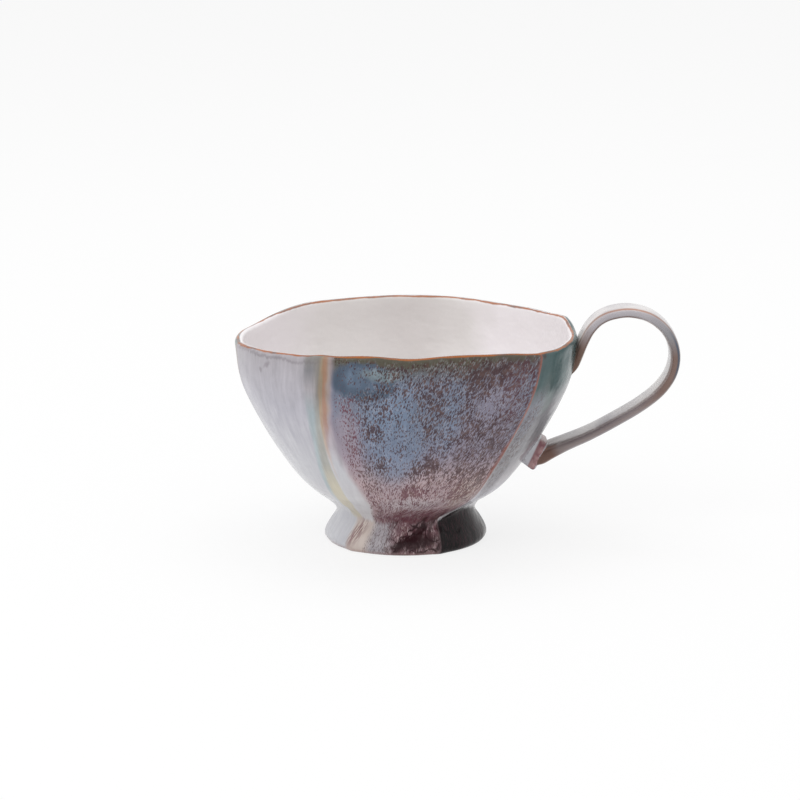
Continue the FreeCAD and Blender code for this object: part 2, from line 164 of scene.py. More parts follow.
# What each glaze looks like, and its screen colour
GLAZES = {
    # also the painted light low on the front panel
    "snow": ("Nearly white, low on the bowl", "d6d5d8"),
    "mist": ("Very pale grey", "cbcbd0"),
    "pearl": ("Pale lavender grey of the plain panels", "b7b5be"),
    "dove": ("Pinkish grey below the rim", "aba6ab"),
    "fog": ("Grey blue of the band beside the front ridge", "9fa9ae"),
    "sky": ("Pale grey blue, low in the band", "b3bec2"),
    "slate": ("Deep grey blue at the edge of a pool", "4a5768"),
    "olive": ("Grey olive at the top of the band", "8a8682"),
    "moss": ("Dark olive tide below the rim", "565347"),
    "steel": ("Clear steel blue", "7688a0"),
    "azure": ("Brightest blue", "7d98ae"),
    "bluebell": ("Grey blue of the front panel", "717788"),
    "lilac": ("Soft lavender", "8a8291"),
    "lavender": ("Lavender grey", "a7a2b4"),
    "mauve": ("Pinkish lavender beside the ridge", "b8a6ae"),
    "rose": ("Greyish pink, low on the front panel", "b9a3a6"),
    "blush": ("Pale brownish pink", "bd9c9a"),
    "plum": ("Dark maroon", "5c3640"),
    "wine": ("Nearly black maroon of the marbled lines", "270d12"),
    "garnet": ("Red flecks", "6b3443"),
    "umber": ("Dark brown flecks", "42292a"),
    "walnut": ("Middle brown", "6e5247"),
    "ink": ("Nearly black brown of the foot", "0c0708"),
    "brick": ("Red brown of the right ridge", "8c5142"),
    "rust": ("Orange brown where the glaze breaks", "a3591f"),
    "amber": ("Light orange brown", "c39b74"),
    "tan": ("Brownish yellow", "9c8a6e"),
    "sand": ("Light brown", "b8aa94"),
    "cream": ("Warm cream", "cfc7b2"),
    "seafoam": ("Pale grey green", "97a5a2"),
    "teal": ("Grey green of the right panel", "425a5b"),
    "pine": ("Darker green of a run", "3e5352"),
    "stone": ("Middle grey", "858488"),
    # also the painted dark reflection at the wall's right edge
    "dusk": ("Purple brown smudges", "62575d"),
    "shell": ("Warm pale grey of the inside", "e2dedc"),
    "pebble": ("Deeper warm grey of the inside", "d6d1cf"),
    "haze": ("Brownish grey of the handle's side", "857876"),
    # painted light: the lit left and right sides of the inside, painted nearly white
    "inside_painted_light": ("Nearly white of the inside", "f1ecee"),
    "oat": ("Pinkish cream of the foot", "cabdb6"),
    "putty": ("Warm grey beside the front ridge", "aaa9a4"),
    "taupe": ("Deeper warm grey higher up", "85807b"),
    "clay": ("Bare fired clay of the sole", "b09a84"),
}
# Each zone of glaze starts at a line, given as pairs of height and place across. It has the
# softness of that line and its glazes from the bottom to the top, as pairs of height and name.
ZONES = (
    ("back", ((0, -3.2), (80, -3.2)), 0.01,
     ((14, "snow"), (28, "pearl"), (48, "lavender"), (64, "steel"))),
    ("rear", ((0, -2), (80, -2)), 0.03,
     ((14, "snow"), (30, "pearl"), (50, "seafoam"), (66, "teal"))),
    ("left", ((0, -1), (80, -1)), 0.02,
     ((12, "snow"), (26, "mist"), (50, "pearl"), (68, "dove"))),
    ("left_band", ((0, -0.3), (13, -0.3), (20, -0.26), (30, -0.2), (40, -0.135), (50, -0.134),
                   (80, -0.145)), 0.022,
     ((13, "mist"), (22, "sky"), (38, "sky"), (50, "fog"), (58, "dove"), (64, "stone"),
         (69, "olive"))),
    ("cream_line", ((0, -0.24), (13, -0.24), (20, -0.2), (30, -0.15), (40, -0.09), (50, -0.06),
                    (80, -0.05)), 0.03,
     ((12, "cream"), (22, "cream"), (32, "putty"), (46, "putty"), (56, "taupe"), (68, "taupe"))),
    ("pale_line", ((0, 0.01), (13, 0), (20, -0.02), (30, -0.03), (40, -0.01), (50, -0.005), (60, 0.012),
         (80, 0.02)), 0.018,
     ((19, "snow"), (32, "mist"), (46, "mauve"), (60, "mauve"))),
    ("front", ((0, 0.12), (13, 0.17), (20, 0.14), (30, 0.075), (40, 0.045), (60, 0.035),
               (80, 0.035)), 0.03,
     ((8.5, "plum"), (13, "rose"), (26, "rose"), (36, "lilac"), (50, "bluebell"),
         (60, "bluebell"), (67, "moss"))),
    ("right", ((0, 1), (13, 0.99), (20, 0.985), (30, 1.01), (50, 1.02), (80, 1.01)), 0.012,
     ((13, "snow"), (18, "pearl"), (23, "dove"), (34, "stone"), (48, "stone"), (56, "teal"),
         (66, "teal"))),
    ("side", ((0, 2), (80, 2)), 0.03,
     ((14, "snow"), (28, "pearl"), (48, "lilac"), (66, "slate"))),
)
# The foot's zones, each with one glaze
FOOT_ZONES = (
    ("back", -3.2, 0.01, "mist"),
    ("left_foot", -1, 0.03, "mist"),
    ("cream_foot", -0.12, 0.05, "oat"),
    ("grey_foot", 0.18, 0.06, "dove"),
    ("pink_foot", 0.44, 0.08, "rose"),
    ("dark_foot", 0.99, 0.03, "ink"),
    ("side_foot", 2.1, 0.25, "stone"),
    ("rear_foot", 2.9, 0.05, "mist"),
)
# How high the foot's zones reach, as pairs of place across and height
# Past the right ridge the line rises to 14.2 mm, so the foot's near-black glaze paints the shade in the
# undercut below the bowl's overhang
FOOT_LINE = (
    (-3, 10.2), (-1, 9.6), (-0.2, 11), (0.05, 10.3), (0.98, 10), (1.2, 14.2), (1.5, 12), (2, 10),
    (3, 10.2),
)

# Soft patches in the glaze, and two of painted light and shade: name, middle across and up, reach
# across and up in millimetres, lean in degrees, softness, glaze and strength
PATCHES = (
    ("steel column", 0.36, 43, 10.5, 18, 0, 0.45, "steel", 0.75),
    ("blue run", 0.6, 47, 4, 12, 6, 0.5, "steel", 0.5),
    ("lilac side", 0.82, 48, 9, 15, 8, 0.5, "lilac", 0.65),
    ("lilac edge", 0.11, 40, 3.6, 12, 0, 0.5, "mauve", 0.35),
    ("rose base", 0.55, 22, 24, 6, 0, 0.5, "rose", 0.5),
    # painted light: paler glaze where the wall low on the front panel faces down into shade
    ("painted light on base", 0.5, 17.6, 15, 2.4, 0, 0.6, "snow", 0.4),
    ("tan base", 0.88, 21, 7, 5, 0, 0.5, "sand", 0.35),
    ("pool rim", 0.19, 61, 9.2, 6.2, 0, 0.14, "slate", 0.95),
    ("pool", 0.2, 62.2, 6.8, 3.9, 0, 0.3, "steel", 0.25),
    ("pool light", 0.13, 60.8, 1.2, 2.6, 0, 0.6, "azure", 0.2),
    ("pool green", 0.27, 63.6, 5.6, 1.8, 0, 0.5, "seafoam", 0.4),
    ("plum band", 0.74, 12.4, 19, 2.2, 0, 0.5, "plum", 0.35),
    ("plum corner", 0.93, 12.6, 9, 2.4, 20, 0.35, "umber", 0.5),
    ("upper dark", 0.84, 62, 12, 5, 0, 0.6, "dusk", 0.38),
    ("middle dusk", 0.51, 52, 6, 10, 0, 0.5, "dusk", 0.25),
    ("right dusk", 0.93, 50, 4, 14, 0, 0.5, "dusk", 0.1),
    ("teal pool", 1.24, 60.5, 11.5, 7.6, 0, 0.3, "teal", 0.85),
    ("teal run", 1.16, 55, 3.4, 5, 0, 0.35, "pine", 0.75),
    ("sea wash", 1.2, 49, 6, 4, 0, 0.5, "seafoam", 0.5),
    ("grey run", 1.13, 37, 7, 16, 0, 0.5, "stone", 0.7),
    ("blue wash", 1.1, 46, 6, 7, 0, 0.5, "bluebell", 0.45),
    # painted reflection: a dark band near the wall's right edge, beside the silhouette
    ("painted dark edge reflection", 1.6, 45, 4, 16, 0, 0.6, "dusk", 0.5),
    ("rust spot", 1.045, 66, 1.2, 1.4, 0, 0.5, "umber", 0.6),
    ("left tide", -0.55, 66.3, 30, 0.5, 0, 0.7, "dusk", 0.35),
    ("left smudge", -0.5, 63.6, 2.6, 0.8, 25, 0.6, "dusk", 0.35),
    ("left smudge low", -0.58, 61.6, 1, 0.7, 25, 0.6, "dusk", 0.35),
)
# Thin runs along the ridges: name, middle across and up, reach across and up, lean, softness,
# glaze and strength
RUNS = (
    ("front glow", 0.006, 58, 1.7, 15, 0, 0.5, "tan", 0.6),
    ("front rust", 0.012, 58, 0.6, 16, 0, 0.6, "rust", 0.35),
    ("front amber", -0.008, 42, 0.9, 12, 2, 0.7, "amber", 0.4),
    ("right brick", 1.01, 52, 1, 21, 0, 0.5, "brick", 0.85),
    ("right blush", 1.004, 30, 0.9, 14, 0, 0.6, "brick", 0.6),
    ("side rust", 2, 52, 0.8, 22, 0, 0.6, "rust", 0.6),
    ("back rust", -2.995, 52, 0.8, 22, 0, 0.6, "rust", 0.6),
    ("back rust beside", 2.995, 52, 0.8, 22, 0, 0.6, "rust", 0.6),
    ("rear rust", -2, 50, 0.8, 22, 0, 0.6, "amber", 0.6),
    ("left amber", -1, 56, 0.8, 14, 0, 0.6, "amber", 0.35),
)
# Where the hare's-fur flecks lie thicker or thinner: name, middle across and up, reach across
# and up, lean, softness and how much is added
FUR_PATCHES = (
    ("left margin", 0.045, 40, 2.4, 24, 0, 0.6, -0.2),
    ("beside left margin", 0.11, 42, 5, 18, 0, 0.5, -0.12),
    ("steel column", 0.37, 42, 7.5, 17, 0, 0.5, -0.16),
    ("blue run", 0.6, 50, 3, 8, 6, 0.5, -0.1),
    ("pool", 0.13, 62.4, 8, 6, 0, 0.35, -0.25),
    ("middle upper", 0.51, 53, 5.5, 9, 0, 0.5, 0.1),
    ("upper right", 0.7, 54, 6, 13, -14, 0.5, 0.08),
    ("top right", 0.8, 62, 12, 5, 0, 0.5, 0.12),
    ("right side", 0.84, 36, 7, 14, -10, 0.5, 0.12),
    ("lilac gap", 0.78, 54, 3, 5, -10, 0.5, -0.16),
    ("middle knot", 0.56, 32, 3.6, 2.6, 0, 0.4, 0.34),
    ("middle streak", 0.47, 30, 2.6, 2.6, 0, 0.4, 0.2),
    ("left knot", 0.25, 44, 2.4, 3, 0, 0.4, 0.3),
    ("upper left knot", 0.3, 52, 2.4, 4, 0, 0.4, 0.18),
    ("low left knot", 0.31, 34, 3, 2.6, 0, 0.4, 0.26),
    ("low knot", 0.5, 23, 4.5, 2.6, 0, 0.4, 0.22),
    ("right knot", 0.93, 27, 3, 3, 0, 0.4, 0.22),
    ("low right knot", 0.84, 22, 4.5, 2.6, 0, 0.4, 0.22),
    ("white left corner", 0.1, 22, 3, 8, 0, 0.6, -0.24),
    ("base", 0.68, 12.4, 22, 2.6, 0, 0.4, 0.22),
    ("foot", 0.74, 5, 14, 6.5, 0, 0.2, 0.16),
    ("foot left", 0.24, 5, 9, 6, 0, 0.3, -0.18),
    ("right panel", 1.12, 36, 6.5, 17, 0, 0.5, 0.38),
)
# How thick the flecks lie over whole zones
FUR_ZONES = (("front", 0.45), ("side", 0.36), ("back", 0.32))
# Dark strokes that sweep over the foot's front: middle across and up, reach across and up, lean
# and strength
FOOT_STROKES = (
    (0.7, 6.6, 13, 1.1, 16, 0.8), (0.62, 4.4, 11, 0.9, 10, 0.8), (0.74, 4, 14, 2, 3, 0.9),
    (0.52, 2.6, 5, 1.3, 48, 0.75), (0.8, 9.4, 1.6, 3, -12, 0.7), (0.9, 8.2, 6, 0.8, 34, 0.7),
)
# Where the flecks are red rather than brown
RED_PATCHES = (
    ("left margin", 0.08, 42, 6, 17, 0, 0.4, 0.9),
    ("base", 0.5, 17, 34, 9, 0, 0.4, 0.75),
    ("right margin", 0.92, 56, 6, 10, 0, 0.5, 0.3),
)
RED_LEAF = (-0.02, 6, 6.5, 3.4, 20, 0.7)
# The handle's glazes along the strap, on its flanks and where the glaze breaks over its edges
FLANK_TONES = (
    (0, "walnut"), (0.1, "walnut"), (0.17, "dove"), (0.32, "dove"), (0.41, "stone"),
    (0.47, "walnut"), (0.58, "walnut"), (0.68, "haze"), (0.91, "haze"), (0.935, "walnut"),
    (1, "walnut"),
)
EDGE_TONES = (
    (0, "walnut"), (0.12, "walnut"), (0.3, "rust"), (0.4, "walnut"), (0.55, "walnut"),
    (0.65, "haze"), (0.9, "haze"), (1, "rust"),
)
# The glazes inside the bowl from left to right, by place in metres; the nearly white ones at the left
# and right are painted light
INSIDE_TONES = (
    (-0.046, "inside_painted_light"), (-0.028, "shell"), (0, "pebble"), (0.016, "shell"), (0.027, "inside_painted_light"),
    (0.048, "inside_painted_light"),
)
# How deep the fine relief of the glaze is, in metres
PEEL_DEPTH = 0.000008
WAVE_DEPTH = 0.00045

# The studio: each lamp's name, place and size, what they point at, and the camera, in metres
LAMPS = (("window", (-0.7, -1, 1.1), 0.8), ("ceiling", (0, 0.2, 1.3), 1))
LAMP_AIM = (0, 0, 0.04)
FLOOR_RADIUS = 6
CAMERA_PLACE = (0, -0.9755, 0.2538)
CAMERA_AIM = (-0.0019, 0, 0.0447)
CAMERA_LENS = 140.31


def from_code(code):
    """A six-figure screen colour as the linear colour that Blender works in."""
    parts = [int(code[k : k + 2], 16) / 255 for k in (0, 2, 4)]
    linear = [c / 12.92 if c <= 0.04045 else ((c + 0.055) / 1.055) ** 2.4 for c in parts]
    return (*linear, 1.0)


def colour_setting(name, description, code):
    """A colour that the user can change, given by its screen code."""
    return FloatVectorProperty(
        name=name, description=description, subtype="COLOR", size=4, min=0, max=1,
        default=from_code(code),
    )


def length_setting(name, description, value):
    """A length that the user can change, given in millimetres."""
    return FloatProperty(
        name=name, description=description, default=value * MM, min=0, subtype="DISTANCE",
        unit="LENGTH",
    )


def share_setting(name, description):
    """A share of a size as modelled, which the user can change."""
    return FloatProperty(name=name, description=description, default=1, min=0, max=3, subtype="FACTOR")


def lamp_setting(name, description):
    """A lamp's power in watts, which the user can change."""
    return FloatProperty(name=name, description=description, default=5, min=0, unit="POWER")


def in_millimetres(length):
    """A length setting in millimetres."""
    return round(length / MM, 4)


def smooth_step(low, high, value):
    """0 below low, 1 above high, and an even curve between them."""
    t = min(max((value - low) / (high - low), 0.0), 1.0)
    return t * t * (3 - 2 * t)


def smooth_line(points, spacing):
    """Points along a smooth line through the given ones, about spacing apart."""
    points = [Vector(p) for p in points]
    ends = [points[0] * 2 - points[1], *points, points[-1] * 2 - points[-2]]
    line = []
    for before, start, end, after in zip(ends, ends[1:], ends[2:], ends[3:]):
        length = (end - start).length
        leave = (end - before) * length / ((end - start).length + (start - before).length)
        arrive = (after - start) * length / ((after - end).length + (end - start).length)
        steps = max(1, round(length / spacing))
        for k in range(steps):
            t = k / steps
            line.append(
                start * (2 * t**3 - 3 * t**2 + 1)
                + leave * (t**3 - 2 * t**2 + t)
                + end * (3 * t**2 - 2 * t**3)
                + arrive * (t**3 - t**2)
            )
    line.append(points[-1])
    return line


@cache
def ridge_angle(number, height):
    """Angle of a ridge at a height; a number past the last ridge goes on round the mug."""
    turns, k = divmod(number, PANELS)
    angles = RIDGES[k].angles
    value = angles[-1] if height <= RIDGE_LEVELS[-1] else angles[0]
    for upper, lower, a, b in zip(RIDGE_LEVELS, RIDGE_LEVELS[1:], angles, angles[1:]):
        if lower <= height <= upper:
            share = (upper - height) / (upper - lower)
            value = a + (b - a) * (share if upper == RIDGE_LEVELS[0] else smooth_step(0, 1, share))
    return value + 360 * turns


def bump(away, half_width):
    """A bell of height 1 whose sides have fallen to about a third at half_width."""
    return math.exp(-((away / half_width) ** 2))


def panel_place(across, height):
    """Angle on the mug, share of the way across the panel, and the panel's width, all there."""
    k = math.floor(across)
    share = across - k
    start = ridge_angle(k, height)
    width = ridge_angle(k + 1, height) - start
    return start + share * width, share, width


def across_at(angle, height):
    """The place across the panels of an angle at a height."""
    for k in range(-1, PANELS):
        start = ridge_angle(k, height)
        end = ridge_angle(k + 1, height)
        if start <= angle <= end:
            return k + (angle - start) / (end - start)
    return across_at(angle - 360, height)


def plan_radius(sizes, radius, across, height, outside):
    """The radius after the panels are flattened and the ribs and the foot's corners are raised."""
    angle, share, width = panel_place(across, height)
    flat = FLATTEST * sizes.facets * (width / WIDE_PANEL) ** 2 * 4 * share * (1 - share)
    flat *= FOOT_FLATNESS + (1 - FOOT_FLATNESS) * smooth_step(*FLAT_LEVELS, height)
    shaped = radius * (1 - flat)
    if outside:
        ridge = RIDGES[round(across) % PANELS]
        away = math.radians((across - round(across)) * width) * radius
        fade = smooth_step(*RIB_LEVELS, height) * (1 - 0.5 * smooth_step(RIB_TOP, RIM_HEIGHT, height))
        shaped += ridge.rib * sizes.ribs * fade * bump(away, ridge.rib_width)
        shaped += ridge.corner * (1 - smooth_step(*CORNER_LEVELS, height)) * bump(away, CORNER_WIDTH)
    turn = math.radians(angle)
    if outside:
        reach = FOOT_REACH * max(0.0, math.cos(turn + FOOT_TURN)) ** 2
        shaped += reach * (1 - smooth_step(*REACH_LEVELS, height))
    sway = 0.0
    for far, often, start, rise in SWAYS:
        sway += far * math.sin(often * turn + start + height / rise)
    return shaped + sway * smooth_step(*SWAY_LEVELS, height)


def rim_lift(sizes, x, angle):
    """How much higher or lower than its crest the rim is at a place on it."""
    lift = -((x - RIM_CREST) ** 2) / (2 * RIM_SWEEP)
    for at, half_width, height in RIM_BUMPS:
        lift += height * bump((angle - at + 180) % 360 - 180, half_width)
    return lift * sizes.rim_wave


def on_mug(sizes, radius, height, across, outside=True):
    """Where a point of the section comes on the finished bowl or foot, in millimetres."""
    angle, share, width = panel_place(across, height)
    shaped = plan_radius(sizes, radius, across, height, outside)
    turn = math.radians(angle)
    x = shaped * math.sin(turn)
    y = -shaped * math.cos(turn)
    lift = RIDGES[math.floor(across) % PANELS].lift * math.sin(math.pi * share) ** 2
    z = height + lift * bump(height - NECK_LEVEL, NECK_WIDTH)
    return Vector((x, y, z + rim_lift(sizes, x, angle) * smooth_step(*RIM_LEVELS, height)))


@cache
def bowl_line():
    """The bowl's outer section as a fine line."""
    return smooth_line(BOWL, 1.0)


def bowl_radius(height):
    """Radius of the bowl's outer section at a height."""
    line = bowl_line()
    for lower, upper in zip(line, line[1:]):
        if lower.y <= height <= upper.y:
            return lower.x + (upper.x - lower.x) * (height - lower.y) / (upper.y - lower.y)
    return line[-1].x


def wall_normal(height, angle):
    """The outward direction of the bowl's wall at a height and an angle."""
    rise = bowl_radius(height + 1) - bowl_radius(height - 1)
    turn = math.radians(angle)
    return Vector((2 * math.sin(turn), -2 * math.cos(turn), -rise)).normalized()


def section_runs(sizes):
    """The section of the bowl and foot as three runs: the underside, the outside and the inside."""
    spacing = in_millimetres(sizes.row_height)
    thickness = in_millimetres(sizes.wall)
    under = smooth_line(RECESS, spacing)[:-1] + smooth_line(SOLE, spacing)[:-1]
    outer = smooth_line(FOOT, spacing)[:-1] + smooth_line(BOWL, spacing)
    edge = outer[-1]
    crown = RIM_HEIGHT - edge.y
    lip = []
    for k in range(1, LIP_STEPS + 1):
        turn = math.pi * k / LIP_STEPS
        lip.append(edge + Vector(((math.cos(turn) - 1) * thickness / 2, math.sin(turn) * crown)))
    half = LIP_STEPS // 2
    wall = []
    for below, at, above in zip(outer, outer[1:], outer[2:]):
        slope = (above - below).normalized()
        inner = at + Vector((-slope.y, slope.x)) * thickness
        if at.y > BOWL[0][1] + 1 and inner.y < edge.y - spacing:
            wall.append(inner)
    wall.reverse()
    bottom = smooth_line((wall[-1], *INSIDE_BOTTOM), spacing)
    return under, outer + lip[:half], lip[half:] + wall[:-1] + bottom


def add_layers(bm):
    """The values that the glaze reads: the flow, the part, the place on the strap and the lip."""
    return {
        "flow": bm.verts.layers.float_vector.new("flow"),
        "parts": bm.verts.layers.float_vector.new("parts"),
        "strap": bm.verts.layers.float_vector.new("strap"),
        "lip": bm.verts.layers.float.new("lip"),
        "made": bm.verts.layers.float.new("made"),
    }


def new_piece(name, maker, sizes):
    """Makes an object at the origin whose mesh the given function models."""
    bm = bmesh.new()
    maker(bm, sizes)
    bmesh.ops.recalc_face_normals(bm, faces=bm.faces[:])
    mesh = bpy.data.meshes.new(name)
    bm.to_mesh(mesh)
    bm.free()
    piece = bpy.data.objects.new(name, mesh)
    bpy.context.scene.collection.objects.link(piece)
    return piece


def throw_bowl(bm, sizes):
    """Turns the section round the axis, then presses the panels, ribs and rim into shape."""
    under, outer, inner = section_runs(sizes)
    line = under + outer + inner
    crest = len(under) + len(outer) - 1
    along = [0.0]
    for a, b in zip(line, line[1:]):
        along.append(along[-1] + (b - a).length)
    number = bm.verts.layers.int.new("number")
    layers = add_layers(bm)
    corners = []
    for k, point in enumerate(line):
        vertex = bm.verts.new((0.0, -point.x, point.y))
        vertex[number] = k
        corners.append(vertex)
    edges = [bm.edges.new(pair) for pair in zip(corners, corners[1:])]
    bmesh.ops.spin(
        bm, geom=corners + edges, cent=(0, 0, 0), axis=(0, 0, 1), angle=math.tau,
        steps=sizes.columns, use_merge=True, use_duplicate=False,
    )
    poles = [v for v in bm.verts if v[number] in (0, len(line) - 1)]
    bmesh.ops.remove_doubles(bm, verts=poles, dist=1e-5)
    hoops = [e for e in bm.edges if e.verts[0][number] == e.verts[1][number]]
    bmesh.ops.subdivide_edges(bm, edges=hoops, cuts=2, use_grid_fill=True)
    for vertex in bm.verts:
        k = vertex[number]
        turn = math.atan2(vertex.co.x, -vertex.co.y)
        outside = k <= crest
        distance = (along[crest] - along[k]) * MM
        across = math.degrees(turn) / PANEL_DEGREES
        vertex.co = on_mug(sizes, line[k].x, line[k].y, across, outside) * MM
        vertex[layers["flow"]] = (math.sin(turn), math.cos(turn), distance)
        vertex[layers["lip"]] = distance
        vertex[layers["parts"]] = (0.0 if outside else 1.0, 0.0, 1.0 if k < len(under) else 0.0)
        vertex[layers["made"]] = 1.0
    bm.verts.layers.int.remove(number)


def strap_section(sizes, station, heading):
    """The points of the strap's section at a station, each with its place across and out."""
    reach, height, thickness, width = station
    thickness *= sizes.strap_thickness
    width *= sizes.strap_width
    outward = Vector((-heading.y, 0, heading.x))
    points = []
    for k in range(SECTION_STEPS):
        turn = math.tau * k / SECTION_STEPS
        side = math.copysign(abs(math.cos(turn)) ** SIDE_SHARPNESS, math.cos(turn))
        rise = math.copysign(abs(math.sin(turn)) ** FACE_SHARPNESS, math.sin(turn))
        place = Vector((reach, side * width / 2, height)) + outward * rise * thickness / 2
        points.append((place, side, rise))
    return points


def pull_strap(bm, sizes):
    """Draws the strap's section along its middle line and closes both its ends."""
    layers = add_layers(bm)
    line = smooth_line(STRAP, in_millimetres(sizes.row_height))
    ring = bmesh.ops.create_circle(bm, segments=SECTION_STEPS, radius=1)["verts"]
    first = ring
    edges = bm.edges[:]
    for k, station in enumerate(line):
        ahead = line[min(k + 1, len(line) - 1)]
        behind = line[max(k - 1, 0)]
        heading = Vector((ahead.x - behind.x, ahead.y - behind.y)).normalized()
        if k:
            fresh = set(bmesh.ops.extrude_edge_only(bm, edges=edges)["geom"])
            edges = [g for g in fresh if isinstance(g, bmesh.types.BMEdge) and g.is_boundary]
            pairs = [[e.other_vert(v) for e in v.link_edges] for v in ring]
            ring = [next(v for v in others if v in fresh) for others in pairs]
        for vertex, (place, side, rise) in zip(ring, strap_section(sizes, station, heading)):
            vertex.co = place * MM
            vertex[layers["strap"]] = (k / (len(line) - 1), side, rise)
            mark_clay(vertex, layers)
    bmesh.ops.contextual_create(bm, geom=first)
    bmesh.ops.contextual_create(bm, geom=ring)


def mark_clay(vertex, layers):
    """Gives a vertex of the handle the values that the bowl's vertices have."""
    turn = math.atan2(vertex.co.x, -vertex.co.y)
    distance = RIM_HEIGHT * MM - vertex.co.z
    vertex[layers["flow"]] = (math.sin(turn), math.cos(turn), distance)
    vertex[layers["lip"]] = max(distance, 10 * MM)
    vertex[layers["parts"]] = (0.0, 1.0, 0.0)
    vertex[layers["made"]] = 1.0


def press_pad(bm, sizes):
    """The flat pad of clay on the wall that the handle's heel is pressed onto."""
    layers = add_layers(bm)
    bmesh.ops.create_cube(bm, size=2)
    bmesh.ops.bevel(
        bm, geom=bm.edges[:], offset=PAD_BEVEL, segments=4, profile=0.5, affect="EDGES", material=-1,
    )
    long_edges = [e for e in bm.edges if e.calc_length() > 0.8]
    bmesh.ops.subdivide_edges(bm, edges=long_edges, cuts=9, use_grid_fill=True)
    middle = (PAD_LOW + PAD_HIGH) / 2
    half = (PAD_HIGH - PAD_LOW) / 2
    for vertex in bm.verts:
        side, up, off = vertex.co
        height = middle + up * half
        reach = PAD_HALF_WIDTH * (1 - PAD_TAPER * up * up)
        angle = 90 + math.degrees(side * reach / bowl_radius(height))
        wall = on_mug(sizes, bowl_radius(height), height, across_at(angle, height))
        outermost = PAD_RISES[0] + (PAD_RISES[1] - PAD_RISES[0]) * (up + 1) / 2
        rise = off * (outermost if off > 0 else PAD_SINK)
        vertex.co = (wall + wall_normal(height, angle) * rise) * MM
        mark_clay(vertex, layers)
        vertex[layers["strap"]] = (1.0 + PAD_MARK, side, (outermost - rise) / PAD_DEPTH_UNIT)


def read_marks(piece):
    """The values at each vertex of a piece, to be found again by its place."""
    bm = bmesh.new()
    bm.from_mesh(piece.data)
    layers = bm.verts.layers
    vectors = [layers.float_vector[name] for name in ("flow", "parts", "strap")]
    lip = layers.float["lip"]
    marks = [(v.co.copy(), [v[layer].copy() for layer in vectors], v[lip]) for v in bm.verts]
    bm.free()
    return marks


def join_pieces(piece, *others):
    """Makes one closed skin of the piece and the others, which are then removed."""
    marks = []
    for other in others:
        marks += read_marks(other)
        union = piece.modifiers.new("join", "BOOLEAN")
        union.operation = "UNION"
        union.solver = "EXACT"
        union.object = other
        bpy.context.view_layer.update()
        graph = bpy.context.evaluated_depsgraph_get()
        joined = bpy.data.meshes.new_from_object(
            piece.evaluated_get(graph), preserve_all_data_layers=True, depsgraph=graph
        )
        piece.modifiers.clear()
        piece.data = joined
        bpy.data.objects.remove(other)
    joined.name = piece.name
    return marks


def around(vertices, rings):
    """The vertices and those up to so many edges away from them."""
    found = set(vertices)
    for _ in range(rings):
        found |= {e.other_vert(v) for v in found for e in v.link_edges}
    return found


def fill_seam(piece, marks):
    """Gives the joined vertices their own values again, and those on the seams their neighbours'."""
    bm = bmesh.new()
    bm.from_mesh(piece.data)
    layers = bm.verts.layers
    made = layers.float["made"]
    parts = layers.float_vector["parts"]
    vectors = [layers.float_vector[name] for name in ("flow", "parts", "strap")]
    places = KDTree(len(marks))
    for k, mark in enumerate(marks):
        places.insert(mark[0], k)
    places.balance()
    seam = []
    for vertex in bm.verts:
        place, k, away = places.find(vertex.co)
        if away < 1e-7:
            for layer, value in zip(vectors, marks[k][1]):
                vertex[layer] = value
            vertex[layers.float["lip"]] = marks[k][2]
            vertex[made] = 1.0
        elif vertex[made] < 0.5:
            seam.append(vertex)
    left = seam
    while left:
        waiting = []
        for vertex in left:
            known = [e.other_vert(vertex) for e in vertex.link_edges]
            known = [v for v in known if v[made] > 0.5]
            if not known:
                waiting.append(vertex)
                continue
            bowl = [v for v in known if v[parts].y < 0.5] or known
            clay = [v for v in known if v[parts].y >= 0.5] or known
            for name, source in (("flow", bowl), ("strap", clay), ("parts", known)):
                layer = layers.float_vector[name]
                vertex[layer] = sum((v[layer] for v in source), Vector()) / len(source)
            lip = layers.float["lip"]
            vertex[lip] = sum(v[lip] for v in bowl) / len(bowl)
        for vertex in left:
            if vertex not in waiting:
                vertex[made] = 1.0
        if len(waiting) == len(left):
            break
        left = waiting
    for _ in range(SEAM_ROUNDS):
        bmesh.ops.smooth_vert(
            bm, verts=list(around(seam, SEAM_RINGS)), factor=0.5,
            use_axis_x=True, use_axis_y=True, use_axis_z=True,
        )
    for face in bm.faces:
        face.smooth = True
    bm.to_mesh(piece.data)
    bm.free()


